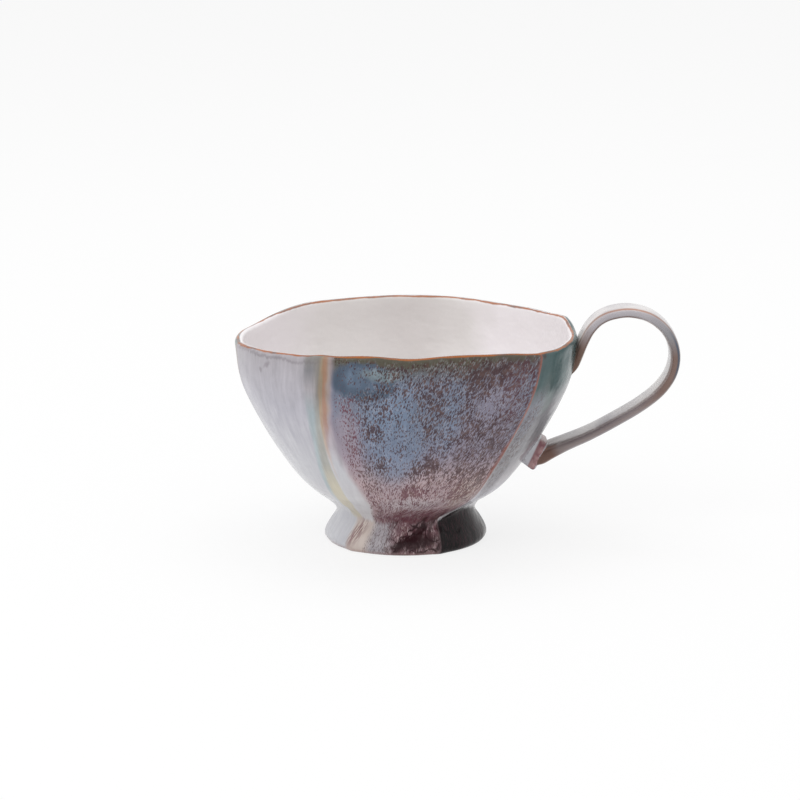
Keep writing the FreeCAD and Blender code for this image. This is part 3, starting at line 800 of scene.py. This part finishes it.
class Mixer:
    """Sets out shader nodes in a tree and joins them up."""

    def __init__(self, tree):
        self.tree = tree

    def feed(self, socket, value):
        """Links a socket to another node's output, or sets its own value."""
        if isinstance(value, bpy.types.NodeSocket):
            self.tree.links.new(value, socket)
        else:
            socket.default_value = value

    def add(self, kind, values=(), out=0, **settings):
        """A new node with its settings and its inputs, by number or name; returns one output."""
        node = self.tree.nodes.new("ShaderNode" + kind)
        for name, value in settings.items():
            setattr(node, name, value)
        pairs = values.items() if isinstance(values, dict) else enumerate(values)
        for key, value in pairs:
            self.feed(node.inputs[key], value)
        return node.outputs[out]

    def math(self, operation, *values):
        """The outcome of an operation on numbers."""
        return self.add("Math", values, operation=operation)

    def times(self, *values):
        """The product of numbers."""
        return reduce(lambda a, b: self.math("MULTIPLY", a, b), values)

    def plus(self, a, b):
        """The sum of two numbers."""
        return self.math("ADD", a, b)

    def minus(self, a, b):
        """The difference of two numbers."""
        return self.math("SUBTRACT", a, b)

    def vector(self, operation, *values, out=0):
        """The outcome of an operation on vectors."""
        return self.add("VectorMath", values, out=out, operation=operation)

    def stretch(self, place, x, y, z):
        """The place with its axes scaled."""
        return self.vector("MULTIPLY", place, (x, y, z))

    def join(self, x, y, z=0.0):
        """A vector from three numbers."""
        return self.add("CombineXYZ", (x, y, z))

    def soft(self, value, low, high):
        """0 where the value is at low, 1 where it is at high, and an even curve between."""
        return self.add("MapRange", (value, low, high), interpolation_type="SMOOTHSTEP")

    def between(self, value, low, start, end, high):
        """1 where the value is from start to end, falling softly to 0 at low and at high."""
        return self.times(self.soft(value, low, start), self.soft(value, high, end))

    def span(self, value, low, high, start, end):
        """The value's place between low and high, carried over to between start and end."""
        return self.add("MapRange", (value, low, high, start, end))

    def blend(self, share, under, over):
        """The colour over laid on the colour under by a share."""
        return self.add("Mix", {0: share, 6: under, 7: over}, out=2, data_type="RGBA")

    def noise(self, place, scale, detail=2, rough=0.5, twist=0, out=0):
        """Noise from 0 to 1, or its colour as out 1."""
        values = {"Vector": place, "Scale": scale, "Detail": detail, "Roughness": rough}
        return self.add("TexNoise", {**values, "Distortion": twist}, out=out)

    def vary(self, place, scale, detail, low, high):
        """Noise that runs from about low to about high."""
        return self.span(self.noise(place, scale, detail), 0.3, 0.7, low, high)

    def drift(self, place, scale, detail=2):
        """A noise vector that lies evenly about nought."""
        return self.vector("SUBTRACT", self.noise(place, scale, detail, out=1), (0.5, 0.5, 0.5))

    def line(self, value, pairs, low, high):
        """A curve through pairs of numbers, whose outcomes lie between low and high."""
        start, end = pairs[0][0], pairs[-1][0]
        share = self.span(value, start, end, 0, 1)
        node = self.tree.nodes.new("ShaderNodeFloatCurve")
        points = node.mapping.curves[0].points
        places = [((a - start) / (end - start), (b - low) / (high - low)) for a, b in pairs]
        for place in places[1:-1]:
            points.new(*place)
        for point, place in zip(sorted(points, key=lambda p: p.location.x), places):
            point.location = place
            point.handle_type = "AUTO_CLAMPED"
        node.mapping.update()
        self.feed(node.inputs["Value"], share)
        return self.span(node.outputs[0], 0, 1, low, high)

    def ramp(self, value, stops):
        """A colour that changes with the value, through pairs of number and colour."""
        start, end = stops[0][0], stops[-1][0]
        share = self.span(value, start, end, 0, 1)
        node = self.tree.nodes.new("ShaderNodeValToRGB")
        elements = node.color_ramp.elements
        elements[0].color = stops[0][1]
        elements[1].color = stops[-1][1]
        for number, colour in stops[1:-1]:
            elements.new((number - start) / (end - start)).color = colour
        self.feed(node.inputs["Fac"], share)
        return node.outputs["Color"]

    def effect(self, tree, **values):
        """Places a node group with its own values; returns its output."""
        node = self.tree.nodes.new("ShaderNodeGroup")
        node.node_tree = tree
        for name, value in values.items():
            self.feed(node.inputs[name.replace("_", " ").capitalize()], value)
        return node.outputs[0]


def new_effect(name, vectors, numbers):
    """An empty node group with named vectors and numbers as inputs and a mask as its output."""
    tree = bpy.data.node_groups.new(name, "ShaderNodeTree")
    for labels, kind in ((vectors, "NodeSocketVector"), (numbers, "NodeSocketFloat")):
        for label in labels:
            tree.interface.new_socket(label, in_out="INPUT", socket_type=kind)
    tree.interface.new_socket("Mask", in_out="OUTPUT", socket_type="NodeSocketFloat")
    given = tree.nodes.new("NodeGroupInput").outputs
    result = tree.nodes.new("NodeGroupOutput").inputs[0]
    return tree, Mixer(tree), given, result


def patch_effect():
    """A soft oval patch at a place on the wall."""
    numbers = ("Reach across", "Reach up", "Lean", "Softness")
    tree, mix, given, result = new_effect("Soft patch", ("Place", "Middle"), numbers)
    cosine = mix.math("COSINE", given["Lean"])
    sine = mix.math("SINE", given["Lean"])
    off = mix.vector("SUBTRACT", given["Place"], given["Middle"])
    across = mix.vector("DOT_PRODUCT", off, mix.join(cosine, sine), out=1)
    up = mix.vector("DOT_PRODUCT", off, mix.join(mix.times(sine, -1), cosine), out=1)
    across = mix.math("DIVIDE", across, given["Reach across"])
    up = mix.math("DIVIDE", up, given["Reach up"])
    away = mix.math("SQRT", mix.math("MULTIPLY_ADD", across, across, mix.times(up, up)))
    outer = mix.plus(1, given["Softness"])
    inner = mix.minus(1, given["Softness"])
    mix.feed(result, mix.soft(away, outer, inner))
    return tree


def fur_effect():
    """Flecks drawn out along the run of the glaze, thicker where the density is higher."""
    numbers = ("Width", "Length", "Lean", "Density")
    tree, mix, given, result = new_effect("Hare's fur", ("Place",), numbers)
    size = mix.join(given["Width"], given["Length"], 1)
    lean = mix.join(0, 0, given["Lean"])
    turned = mix.add("Mapping", (given["Place"], (0, 0, 0), lean, size), vector_type="TEXTURE")
    bent = mix.vector("ADD", turned, mix.stretch(mix.drift(turned, 0.8), 1.5, 1.5, 0))
    dashes = mix.tree.nodes.new("ShaderNodeTexVoronoi")
    dashes.voronoi_dimensions = "2D"
    mix.feed(dashes.inputs["Vector"], bent)
    mix.feed(dashes.inputs["Scale"], 1)
    chance = mix.times(mix.vector("DOT_PRODUCT", dashes.outputs["Color"], (1, 0, 0), out=1), 0.5)
    clumps = mix.noise(mix.stretch(given["Place"], 1, 0.55, 1), 0.3, 3, 0.62)
    size = mix.plus(given["Density"], mix.span(clumps, 0.3, 0.7, 0.05, 0.45))
    reach = mix.times(mix.minus(size, chance), 0.8)
    mix.feed(result, mix.soft(mix.minus(reach, dashes.outputs["Distance"]), -0.05, 0.10))
    return tree


def swirl_effect():
    """Thin lines that curl through the glaze, as in marbling."""
    tree, mix, given, result = new_effect("Marbling", ("Place",), ("Size", "Curl", "Width"))
    scale = mix.math("DIVIDE", 1, given["Size"])
    curl = mix.drift(given["Place"], mix.times(scale, 0.7))
    reach = mix.times(given["Curl"], given["Size"])
    push = mix.add("VectorMath", {0: curl, 3: reach}, operation="SCALE")
    veins = mix.noise(mix.vector("ADD", given["Place"], push), scale, 1)
    away = mix.math("ABSOLUTE", mix.minus(veins, 0.5))
    mix.feed(result, mix.soft(away, given["Width"], 0))
    return tree


class GlazeCoats:
    """The mug's glaze, laid on coat by coat."""

    def __init__(self, tree, glazes):
        self.mix = Mixer(tree)
        self.glazes = glazes
        self.patch = patch_effect()
        self.fur = fur_effect()
        self.swirl = swirl_effect()

    def glaze(self, name):
        """The colour of a glaze."""
        return tuple(getattr(self.glazes, name))

    def tones(self, value, stops):
        """Glazes that follow each other as the value grows, given as pairs of number and name."""
        return self.mix.ramp(value, [(at, self.glaze(name)) for at, name in stops])

    def coat(self, colour, name, *shares):
        """The colour with a glaze laid over it by the product of the shares."""
        return self.mix.blend(self.mix.times(*shares), colour, self.glaze(name))

    def attribute(self, name, out="Vector"):
        """One of the mesh's own values."""
        node = self.mix.tree.nodes.new("ShaderNodeAttribute")
        node.attribute_name = name
        return node.outputs[out]

    def split(self, vector):
        """The three numbers of a vector."""
        node = self.mix.tree.nodes.new("ShaderNodeSeparateXYZ")
        self.mix.feed(node.inputs[0], vector)
        return node.outputs

    def find_places(self):
        """Works out where on the mug a point is, and the same place after the glaze has run."""
        mix = self.mix
        flow = self.split(self.attribute("flow"))
        parts = self.split(self.attribute("parts"))
        spot = self.split(mix.add("TexCoord", out="Object"))
        self.inside, self.clay, self.under = parts["X"], parts["Y"], parts["Z"]
        self.lip = mix.times(self.attribute("lip", "Fac"), 1 / MM)
        self.height = mix.times(spot["Z"], 1 / MM)
        self.across = mix.times(mix.math("ARCTAN2", flow["X"], flow["Y"]), PANELS / math.tau)
        self.behind = mix.soft(flow["Y"], 0.15, -0.45)
        around_mug = mix.join(flow["X"], flow["Y"], flow["Z"])
        self.wall = mix.stretch(around_mug, MEAN_RADIUS, MEAN_RADIUS, 1 / MM)
        wander = mix.drift(mix.stretch(self.wall, 1, 1, 0.4), 0.075, 3)
        feather = mix.drift(mix.stretch(self.wall, 1, 1, 0.22), 0.8)
        push = mix.vector("ADD", mix.stretch(wander, 3.6, 5, 0), mix.stretch(feather, 1.5, 2.4, 0))
        push = self.split(push)
        along = mix.times(self.across, PANEL_REACH)
        self.still = mix.join(along, self.height)
        run = mix.plus(along, push["X"])
        self.run_across = mix.math("DIVIDE", run, PANEL_REACH)
        self.run_height = mix.plus(self.height, push["Y"])
        self.place = mix.join(run, self.run_height)

    def oval(self, across, up, reach_across, reach_up, lean, softness):
        """1 in a soft oval on the wall and 0 outside it."""
        return self.mix.effect(
            self.patch, place=self.place, middle=(across * PANEL_REACH, up, 0),
            reach_across=reach_across, reach_up=reach_up, lean=math.radians(lean), softness=softness,
        )

    def dashes(self, place, width, length, density, lean=0):
        """1 on hare's-fur flecks of a size and 0 between them."""
        return self.mix.effect(
            self.fur, place=place, width=width, length=length, lean=lean, density=density
        )

    def lay_zones(self):
        """The ground coats of the bowl, zone after zone round the wall."""
        mix = self.mix
        colour = None
        self.zones = {}
        for name, edge, softness, stops in ZONES:
            coat = self.tones(self.run_height, stops)
            begun = 1.0
            if colour is None:
                colour = coat
            else:
                past = mix.minus(self.run_across, mix.line(self.height, edge, *LINE_ENDS))
                begun = mix.soft(past, -softness, softness)
                colour = mix.blend(begun, colour, coat)
                self.zones[last] = mix.times(self.zones[last], mix.minus(1, begun))
            self.zones[name] = begun
            last = name
        return colour

    def lay_patches(self, colour, patches):
        """Soft patches or runs of glaze from a table, where a few patches are painted light and shade.
        """
        for _, *shape, glaze, strength in patches:
            colour = self.coat(colour, glaze, self.oval(*shape), strength)
        return colour

    def lay_fur(self, colour):
        """Brown and red flecks, and pale ones between them."""
        mix = self.mix
        density = red = 0.0
        for name, added in FUR_ZONES:
            density = mix.plus(density, mix.times(self.zones[name], added))
        for _, *shape, added in FUR_PATCHES:
            density = mix.plus(density, mix.times(self.oval(*shape), added))
        for _, *shape, strength in RED_PATCHES:
            red = mix.math("MAXIMUM", red, mix.times(self.oval(*shape), strength))
        parts = self.split(self.still)
        narrowing = mix.times(mix.minus(parts["Y"], 40), -0.0042)
        drawn = mix.join(mix.times(parts["X"], mix.plus(narrowing, 1)), parts["Y"])
        pale = self.dashes(mix.vector("ADD", drawn, (210, 40, 0)), 0.4, 1.3, 0.35)
        shown = mix.times(mix.soft(density, 0.1, 0.4), 0.28)
        colour = self.coat(colour, "pearl", pale, mix.times(shown, mix.minus(1, self.below)))
        fleck = self.coat(self.glaze("umber"), "garnet", red)
        fleck = self.coat(fleck, "walnut", mix.soft(mix.noise(self.wall, 0.5), 0.42, 0.66), 0.45)
        coarse = self.dashes(drawn, 0.44, 1.15, density)
        fine = self.dashes(mix.vector("ADD", drawn, (90, 300, 0)), 0.7, 2.1, mix.minus(density, 0.26))
        shown = mix.soft(density, 0.02, 0.16)
        self.flecks = mix.times(mix.math("MAXIMUM", coarse, fine), shown)
        return mix.blend(mix.times(self.flecks, 0.85), colour, fleck)

    def lay_mottling(self, colour):
        """Faint clouds and streaks down the wall, where the glaze ran in the firing."""
        mix = self.mix
        streaks = mix.noise(mix.stretch(self.wall, 1, 1, 0.16), 0.55, 4, 0.65)
        clouds = mix.noise(self.wall, 0.12, 3)
        both = mix.plus(mix.times(streaks, 0.6), mix.times(clouds, 0.4))
        grey = mix.span(both, 0.3, 0.7, 0.25, 0.75)
        values = {0: 0.35, 6: colour, 7: mix.join(grey, grey, grey)}
        return mix.add("Mix", values, out=2, data_type="RGBA", blend_type="OVERLAY")

    def lay_rim(self, colour):
        """The dark tide below the rim, and the rust line where the glaze breaks over its edge."""
        mix = self.mix
        depth = mix.vary(mix.stretch(self.wall, 1, 1, 0.1), 0.35, 2, 1.2, 3.8)
        front = mix.between(self.run_across, 0.04, 0.12, 0.93, 0.99)
        front = mix.times(front, mix.minus(1, self.inside))
        colour = self.coat(colour, "moss", mix.soft(mix.minus(self.lip, depth), 1.1, -1.1), front, 0.8)
        middle = mix.minus(mix.vary(self.wall, 0.12, 3, 0.15, 0.75), mix.times(self.behind, 1.25))
        away = mix.math("ABSOLUTE", mix.minus(self.lip, middle))
        width = mix.vary(self.wall, 0.3, 2, 0.5, 0.85)
        self.rim = mix.soft(away, width, mix.times(width, 0.3))
        rust = self.coat(self.glaze("rust"), "walnut", mix.soft(mix.noise(self.wall, 0.2), 0.45, 0.75))
        return mix.blend(mix.times(self.rim, 0.9), colour, rust)

    def lay_foot(self, colour):
        """The ground coats of the foot, which reach a little way up the bowl; past the right ridge that
        reach is painted shade in the undercut below the bowl.
        """
        mix = self.mix
        foot = self.glaze(FOOT_ZONES[0][-1])
        for _, start, softness, glaze in FOOT_ZONES[1:]:
            foot = self.coat(foot, glaze, mix.soft(self.run_across, start - softness, start + softness))
        specks = self.dashes(self.still, 0.4, 2.6, 0.36)
        foot = self.coat(foot, "plum", specks, mix.between(self.run_across, 1, 1.05, 1.9, 2.2), 0.35)
        top = mix.line(self.across, FOOT_LINE, 0, 20)
        self.below = mix.soft(mix.minus(self.run_height, top), 0.9, -0.9)
        return mix.blend(self.below, colour, foot)

    def lay_marbling(self, colour):
        """The dark marbled lines and red streaks on the foot, and its worn lower edge."""
        mix = self.mix
        flowing = mix.stretch(self.wall, 1, 1, 1.6)
        front = mix.times(mix.between(self.run_across, 0.36, 0.52, 0.96, 1.02), self.below)
        blotch = mix.soft(mix.noise(flowing, 0.2, 4, 0.6, 0.6), 0.44, 0.56)
        colour = self.coat(colour, "plum", blotch, front, 0.65)
        veins = mix.effect(self.swirl, place=flowing, size=8, curl=1.6, width=0.05)
        colour = self.coat(colour, "wine", veins, front, 0.95)
        for *shape, strength in FOOT_STROKES:
            colour = self.coat(colour, "wine", self.oval(*shape, 0.5), strength)
        streaks = self.dashes(self.still, 0.7, 4, 0.64, math.radians(-38))
        colour = self.coat(colour, "garnet", self.oval(*RED_LEAF), streaks, 0.7)
        worn = mix.times(mix.soft(self.height, 1.6, 0.5), mix.soft(self.run_across, 1, 0.94))
        return self.coat(colour, "blush", worn, 0.4)

    def lay_inside(self, colour):
        """The pale glaze inside the bowl, a little darker towards the bottom, with painted light making
        its left and right sides nearly white.
        """
        mix = self.mix
        spot = self.split(mix.add("TexCoord", out="Object"))
        sway = mix.vary(self.wall, 0.035, 3, -0.007, 0.007)
        # painted light: the inside's left and right sides run to nearly white
        inner = self.tones(mix.plus(spot["X"], sway), INSIDE_TONES)
        inner = self.coat(inner, "pebble", mix.soft(self.height, 34, 14), 0.4)
        return mix.blend(self.inside, colour, inner)

    def lay_handle(self, colour):
        """The strap's faces, flanks and edges, and the pad under its heel."""
        mix = self.mix
        strap = self.split(self.attribute("strap"))
        along, side, rise = strap["X"], strap["Y"], strap["Z"]
        wide = mix.math("ABSOLUTE", side)
        thick = mix.math("ABSOLUTE", rise)
        spot = mix.stretch(mix.add("TexCoord", out="Object"), 1 / MM, 1 / MM, 1 / MM)
        face = self.coat(self.glaze("shell"), "dove", mix.soft(mix.noise(spot, 0.09, 3), 0.25, 0.8))
        face = self.coat(face, "tan", mix.soft(along, 0.16, 0.04), 0.7)
        face = self.coat(face, "walnut", mix.between(along, 0.86, 0.95, 1.06, 1.12), 0.75)
        flank = mix.times(mix.soft(wide, 0.80, 0.97), mix.soft(thick, 0.9, 0.6))
        face = mix.blend(mix.times(flank, 0.9), face, self.tones(along, FLANK_TONES))
        outer = mix.times(mix.soft(rise, 0.15, 0.6), mix.soft(wide, 0.75, 0.9))
        face = self.coat(face, "slate", outer, mix.between(along, 0.38, 0.45, 0.50, 0.56))
        low = mix.between(along, 0.54, 0.66, 0.86, 0.93)
        face = self.coat(face, "dove", outer, low, 0.5)
        inner = mix.times(mix.soft(rise, 0.1, -0.5), mix.soft(wide, 0.82, 0.94))
        face = self.coat(face, "dusk", inner, low, 0.55)
        edge = mix.soft(mix.math("MINIMUM", wide, thick), 0.60, 0.80)
        ragged = mix.times(edge, mix.soft(mix.noise(spot, 0.22), 0.25, 0.45))
        face = mix.blend(mix.times(ragged, 0.75), face, self.tones(along, EDGE_TONES))
        hook = mix.times(mix.soft(rise, -0.2, -0.7), mix.soft(wide, 0.7, 0.85))
        face = self.coat(face, "walnut", hook, mix.between(along, 0.06, 0.12, 0.28, 0.34))
        depth = mix.times(rise, PAD_DEPTH_UNIT)
        stain = mix.span(mix.noise(spot, 0.5, 3), 0.35, 0.65, 0.15, 0.75)
        pad_stain_and_highlight = self.coat(self.glaze("blush"), "garnet", stain)
        # painted highlight: the pad's outer face is painted pale as its lit edge; the pink between is
        # the pad's own glaze
        pad_stain_and_highlight = self.coat(pad_stain_and_highlight, "mist", mix.soft(depth, 0.5, 0.1))
        pad_stain_and_highlight = self.coat(pad_stain_and_highlight, "mist", mix.soft(depth, 2.4, 3))
        face = mix.blend(mix.soft(along, 1.06, 1.14), face, pad_stain_and_highlight)
        return mix.blend(self.clay, colour, face)

    def surface(self):
        """Gloss and the fine relief of the fired glaze."""
        mix = self.mix
        peel = mix.noise(self.wall, 1.4)
        waves = mix.noise(mix.stretch(self.wall, 1, 1, 1.6), 0.11)
        relief = mix.plus(mix.times(peel, PEEL_DEPTH), mix.times(waves, WAVE_DEPTH))
        bump = mix.add("Bump", {"Strength": 1, "Distance": 1, "Height": relief})
        gloss = mix.vary(self.wall, 0.25, 3, 0.13, 0.24)
        gloss = mix.plus(gloss, mix.times(self.flecks, 0.1))
        return mix.plus(gloss, mix.times(self.rim, 0.05)), bump


def mix_glaze(glazes):
    """The glaze of the whole mug."""
    material = bpy.data.materials.new("reactive_glaze")
    material.use_nodes = True
    tree = material.node_tree
    coats = GlazeCoats(tree, glazes)
    mix = coats.mix
    coats.find_places()
    colour = coats.lay_patches(coats.lay_zones(), PATCHES)
    colour = coats.lay_fur(coats.lay_foot(colour))
    colour = coats.lay_mottling(coats.lay_patches(colour, RUNS))
    colour = coats.lay_inside(coats.lay_marbling(colour))
    colour = coats.lay_handle(coats.lay_rim(colour))
    sole = mix.times(coats.under, mix.soft(coats.height, 0.5, 0.2))
    colour = coats.coat(colour, "clay", sole)
    gloss, bump = coats.surface()
    shader = tree.nodes["Principled BSDF"].inputs
    mix.feed(shader["Base Color"], colour)
    mix.feed(shader["Roughness"], mix.plus(gloss, mix.times(sole, 0.5)))
    mix.feed(shader["Normal"], bump)
    mix.feed(shader["Specular IOR Level"], 0.18)
    return material


def plain_rays(mix):
    """1 for the rays from the camera and off or through gloss, which see the studio as plain white."""
    rays = mix.tree.nodes.new("ShaderNodeLightPath").outputs
    kinds = (rays["Is Glossy Ray"], rays["Is Transmission Ray"], rays["Is Camera Ray"])
    return reduce(lambda a, b: mix.math("MAXIMUM", a, b), kinds)


def white_floor(colour):
    """A white floor that the camera and the gloss see nearly white, with the mug's shadow on it."""
    material = bpy.data.materials.new("studio_floor")
    material.use_nodes = True
    tree = material.node_tree
    mix = Mixer(tree)
    tree.nodes.clear()
    share = mix.times(plain_rays(mix), 0.8)
    matte = mix.add("BsdfDiffuse", {"Color": colour})
    glow = mix.add("Emission", {"Color": (1, 1, 1, 1), "Strength": 1})
    mixed = mix.add("MixShader", (share, matte, glow))
    result = tree.nodes.new("ShaderNodeOutputMaterial")
    mix.feed(result.inputs["Surface"], mixed)
    return material


def light_world(strength):
    """An even white surrounding, which the camera and the gloss see as plain white."""
    world = bpy.data.worlds.new("studio")
    world.use_nodes = True
    bpy.context.scene.world = world
    mix = Mixer(world.node_tree)
    background = world.node_tree.nodes["Background"].inputs
    mix.feed(background["Color"], (1, 1, 1, 1))
    mix.feed(background["Strength"], mix.span(plain_rays(mix), 0, 1, strength, 1))


def soft_lamp(name, place, aim, size, power):
    """A square lamp at a place, turned to an aim."""
    light = bpy.data.lights.new(name, "AREA")
    light.size = size
    light.energy = power
    lamp = bpy.data.objects.new(name, light)
    lamp.location = place
    lamp.rotation_euler = (Vector(aim) - Vector(place)).to_track_quat("-Z", "Y").to_euler()
    bpy.context.scene.collection.objects.link(lamp)
    return lamp


class MugSizes(bpy.types.PropertyGroup):
    """Sizes of the mug's modelled skin"""

    columns: IntProperty(
        name="Columns", description="A third of the columns of faces round the bowl", default=120,
        min=24, max=150,
    )
    row_height: length_setting("Row height", "Height of one row of faces on the wall", 0.85)
    wall: length_setting("Wall", "Thickness of the bowl's wall", 2.7)
    rim_wave: share_setting("Rim wave", "How strongly the rim rises and dips")
    ribs: share_setting("Ribs", "How far the ribs on the ridges stand out")
    facets: share_setting("Facets", "How flat the panels between the ridges are")
    strap_width: share_setting("Strap width", "Width of the handle")
    strap_thickness: share_setting("Strap thickness", "Thickness of the handle")


class MugGlazes(bpy.types.PropertyGroup):
    """Colours of the mug's glazes"""

    __annotations__ = {
        name: colour_setting(name.title(), *about) for name, about in GLAZES.items()
    }


class MugStage(bpy.types.PropertyGroup):
    """Floor and light of the studio"""

    floor: colour_setting("Floor", "Colour of the floor", "f4f4f4")
    ambient: FloatProperty(
        name="Ambient", description="Even light from all round", default=0.75, min=0, max=2
    )
    window: lamp_setting("Window", "Power of the large soft lamp")
    ceiling: lamp_setting("Ceiling", "Power of the lamp overhead")


class MUG_OT_bowl(bpy.types.Operator):
    """Throw the bowl and its foot in one piece"""

    bl_idname = "mug.bowl"
    bl_label = "Throw bowl and foot"

    def execute(self, context):
        new_piece(PIECE, throw_bowl, context.scene.mug_sizes)
        return {"FINISHED"}


class MUG_OT_handle(bpy.types.Operator):
    """Pull the strap handle and join it to the bowl"""

    bl_idname = "mug.handle"
    bl_label = "Pull handle"

    def execute(self, context):
        sizes = context.scene.mug_sizes
        mug = bpy.data.objects[PIECE]
        clay = [new_piece("pad", press_pad, sizes), new_piece("strap", pull_strap, sizes)]
        marks = join_pieces(mug, *clay)
        fill_seam(mug, marks)
        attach(mug, BODY)
        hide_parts(NODE)
        return {"FINISHED"}


class MUG_OT_glaze(bpy.types.Operator):
    """Glaze the whole mug"""

    bl_idname = "mug.glaze"
    bl_label = "Glaze mug"

    def execute(self, context):
        mug = bpy.data.objects[PIECE]
        mug.data.materials.clear()
        mug.data.materials.append(mix_glaze(context.scene.mug_glazes))
        return {"FINISHED"}


class MUG_OT_stage(bpy.types.Operator):
    """Set the floor, the lamps and the camera"""

    bl_idname = "mug.stage"
    bl_label = "Set stage"

    def execute(self, context):
        scene = context.scene
        scene.view_settings.view_transform = "Standard"
        bm = bmesh.new()
        bmesh.ops.create_circle(bm, cap_ends=True, segments=96, radius=FLOOR_RADIUS)
        mesh = bpy.data.meshes.new("floor")
        bm.to_mesh(mesh)
        bm.free()
        floor = bpy.data.objects.new("floor", mesh)
        mesh.materials.append(white_floor(tuple(scene.mug_stage.floor)))
        scene.collection.objects.link(floor)
        light_world(scene.mug_stage.ambient)
        for name, place, size in LAMPS:
            soft_lamp(name, place, LAMP_AIM, size, getattr(scene.mug_stage, name))
        camera = bpy.data.objects.new("camera", bpy.data.cameras.new("camera"))
        camera.data.lens = CAMERA_LENS
        camera.data.clip_end = 50
        camera.location = CAMERA_PLACE
        heading = Vector(CAMERA_AIM) - camera.location
        camera.rotation_euler = heading.to_track_quat("-Z", "Y").to_euler()
        scene.collection.objects.link(camera)
        scene.camera = camera
        return {"FINISHED"}


class MUG_PT_panel(bpy.types.Panel):
    """Lists the mug's steps, sizes and colours"""

    bl_idname = "MUG_PT_panel"
    bl_label = "Pedestal mug"
    bl_space_type = "VIEW_3D"
    bl_region_type = "UI"
    bl_category = "Mug"

    def draw(self, context):
        for step in STEPS:
            self.layout.operator(step.bl_idname)
        for settings in ("mug_sizes", "mug_glazes", "mug_stage"):
            group = getattr(context.scene, settings)
            for name in group.__annotations__:
                self.layout.prop(group, name)


STEPS = (MUG_OT_bowl, MUG_OT_handle, MUG_OT_glaze, MUG_OT_stage)
CLASSES = (MugSizes, MugGlazes, MugStage, *STEPS, MUG_PT_panel)


def register():
    for kind in CLASSES:
        bpy.utils.register_class(kind)
    bpy.types.Scene.mug_sizes = PointerProperty(type=MugSizes)
    bpy.types.Scene.mug_glazes = PointerProperty(type=MugGlazes)
    bpy.types.Scene.mug_stage = PointerProperty(type=MugStage)


def unregister():
    del bpy.types.Scene.mug_stage
    del bpy.types.Scene.mug_glazes
    del bpy.types.Scene.mug_sizes
    for kind in reversed(CLASSES):
        bpy.utils.unregister_class(kind)


def main():
    register()
    bpy.ops.mug.bowl()
    bpy.ops.mug.handle()
    bpy.ops.mug.glaze()
    bpy.ops.mug.stage()


if __name__ == "__main__":
    main()
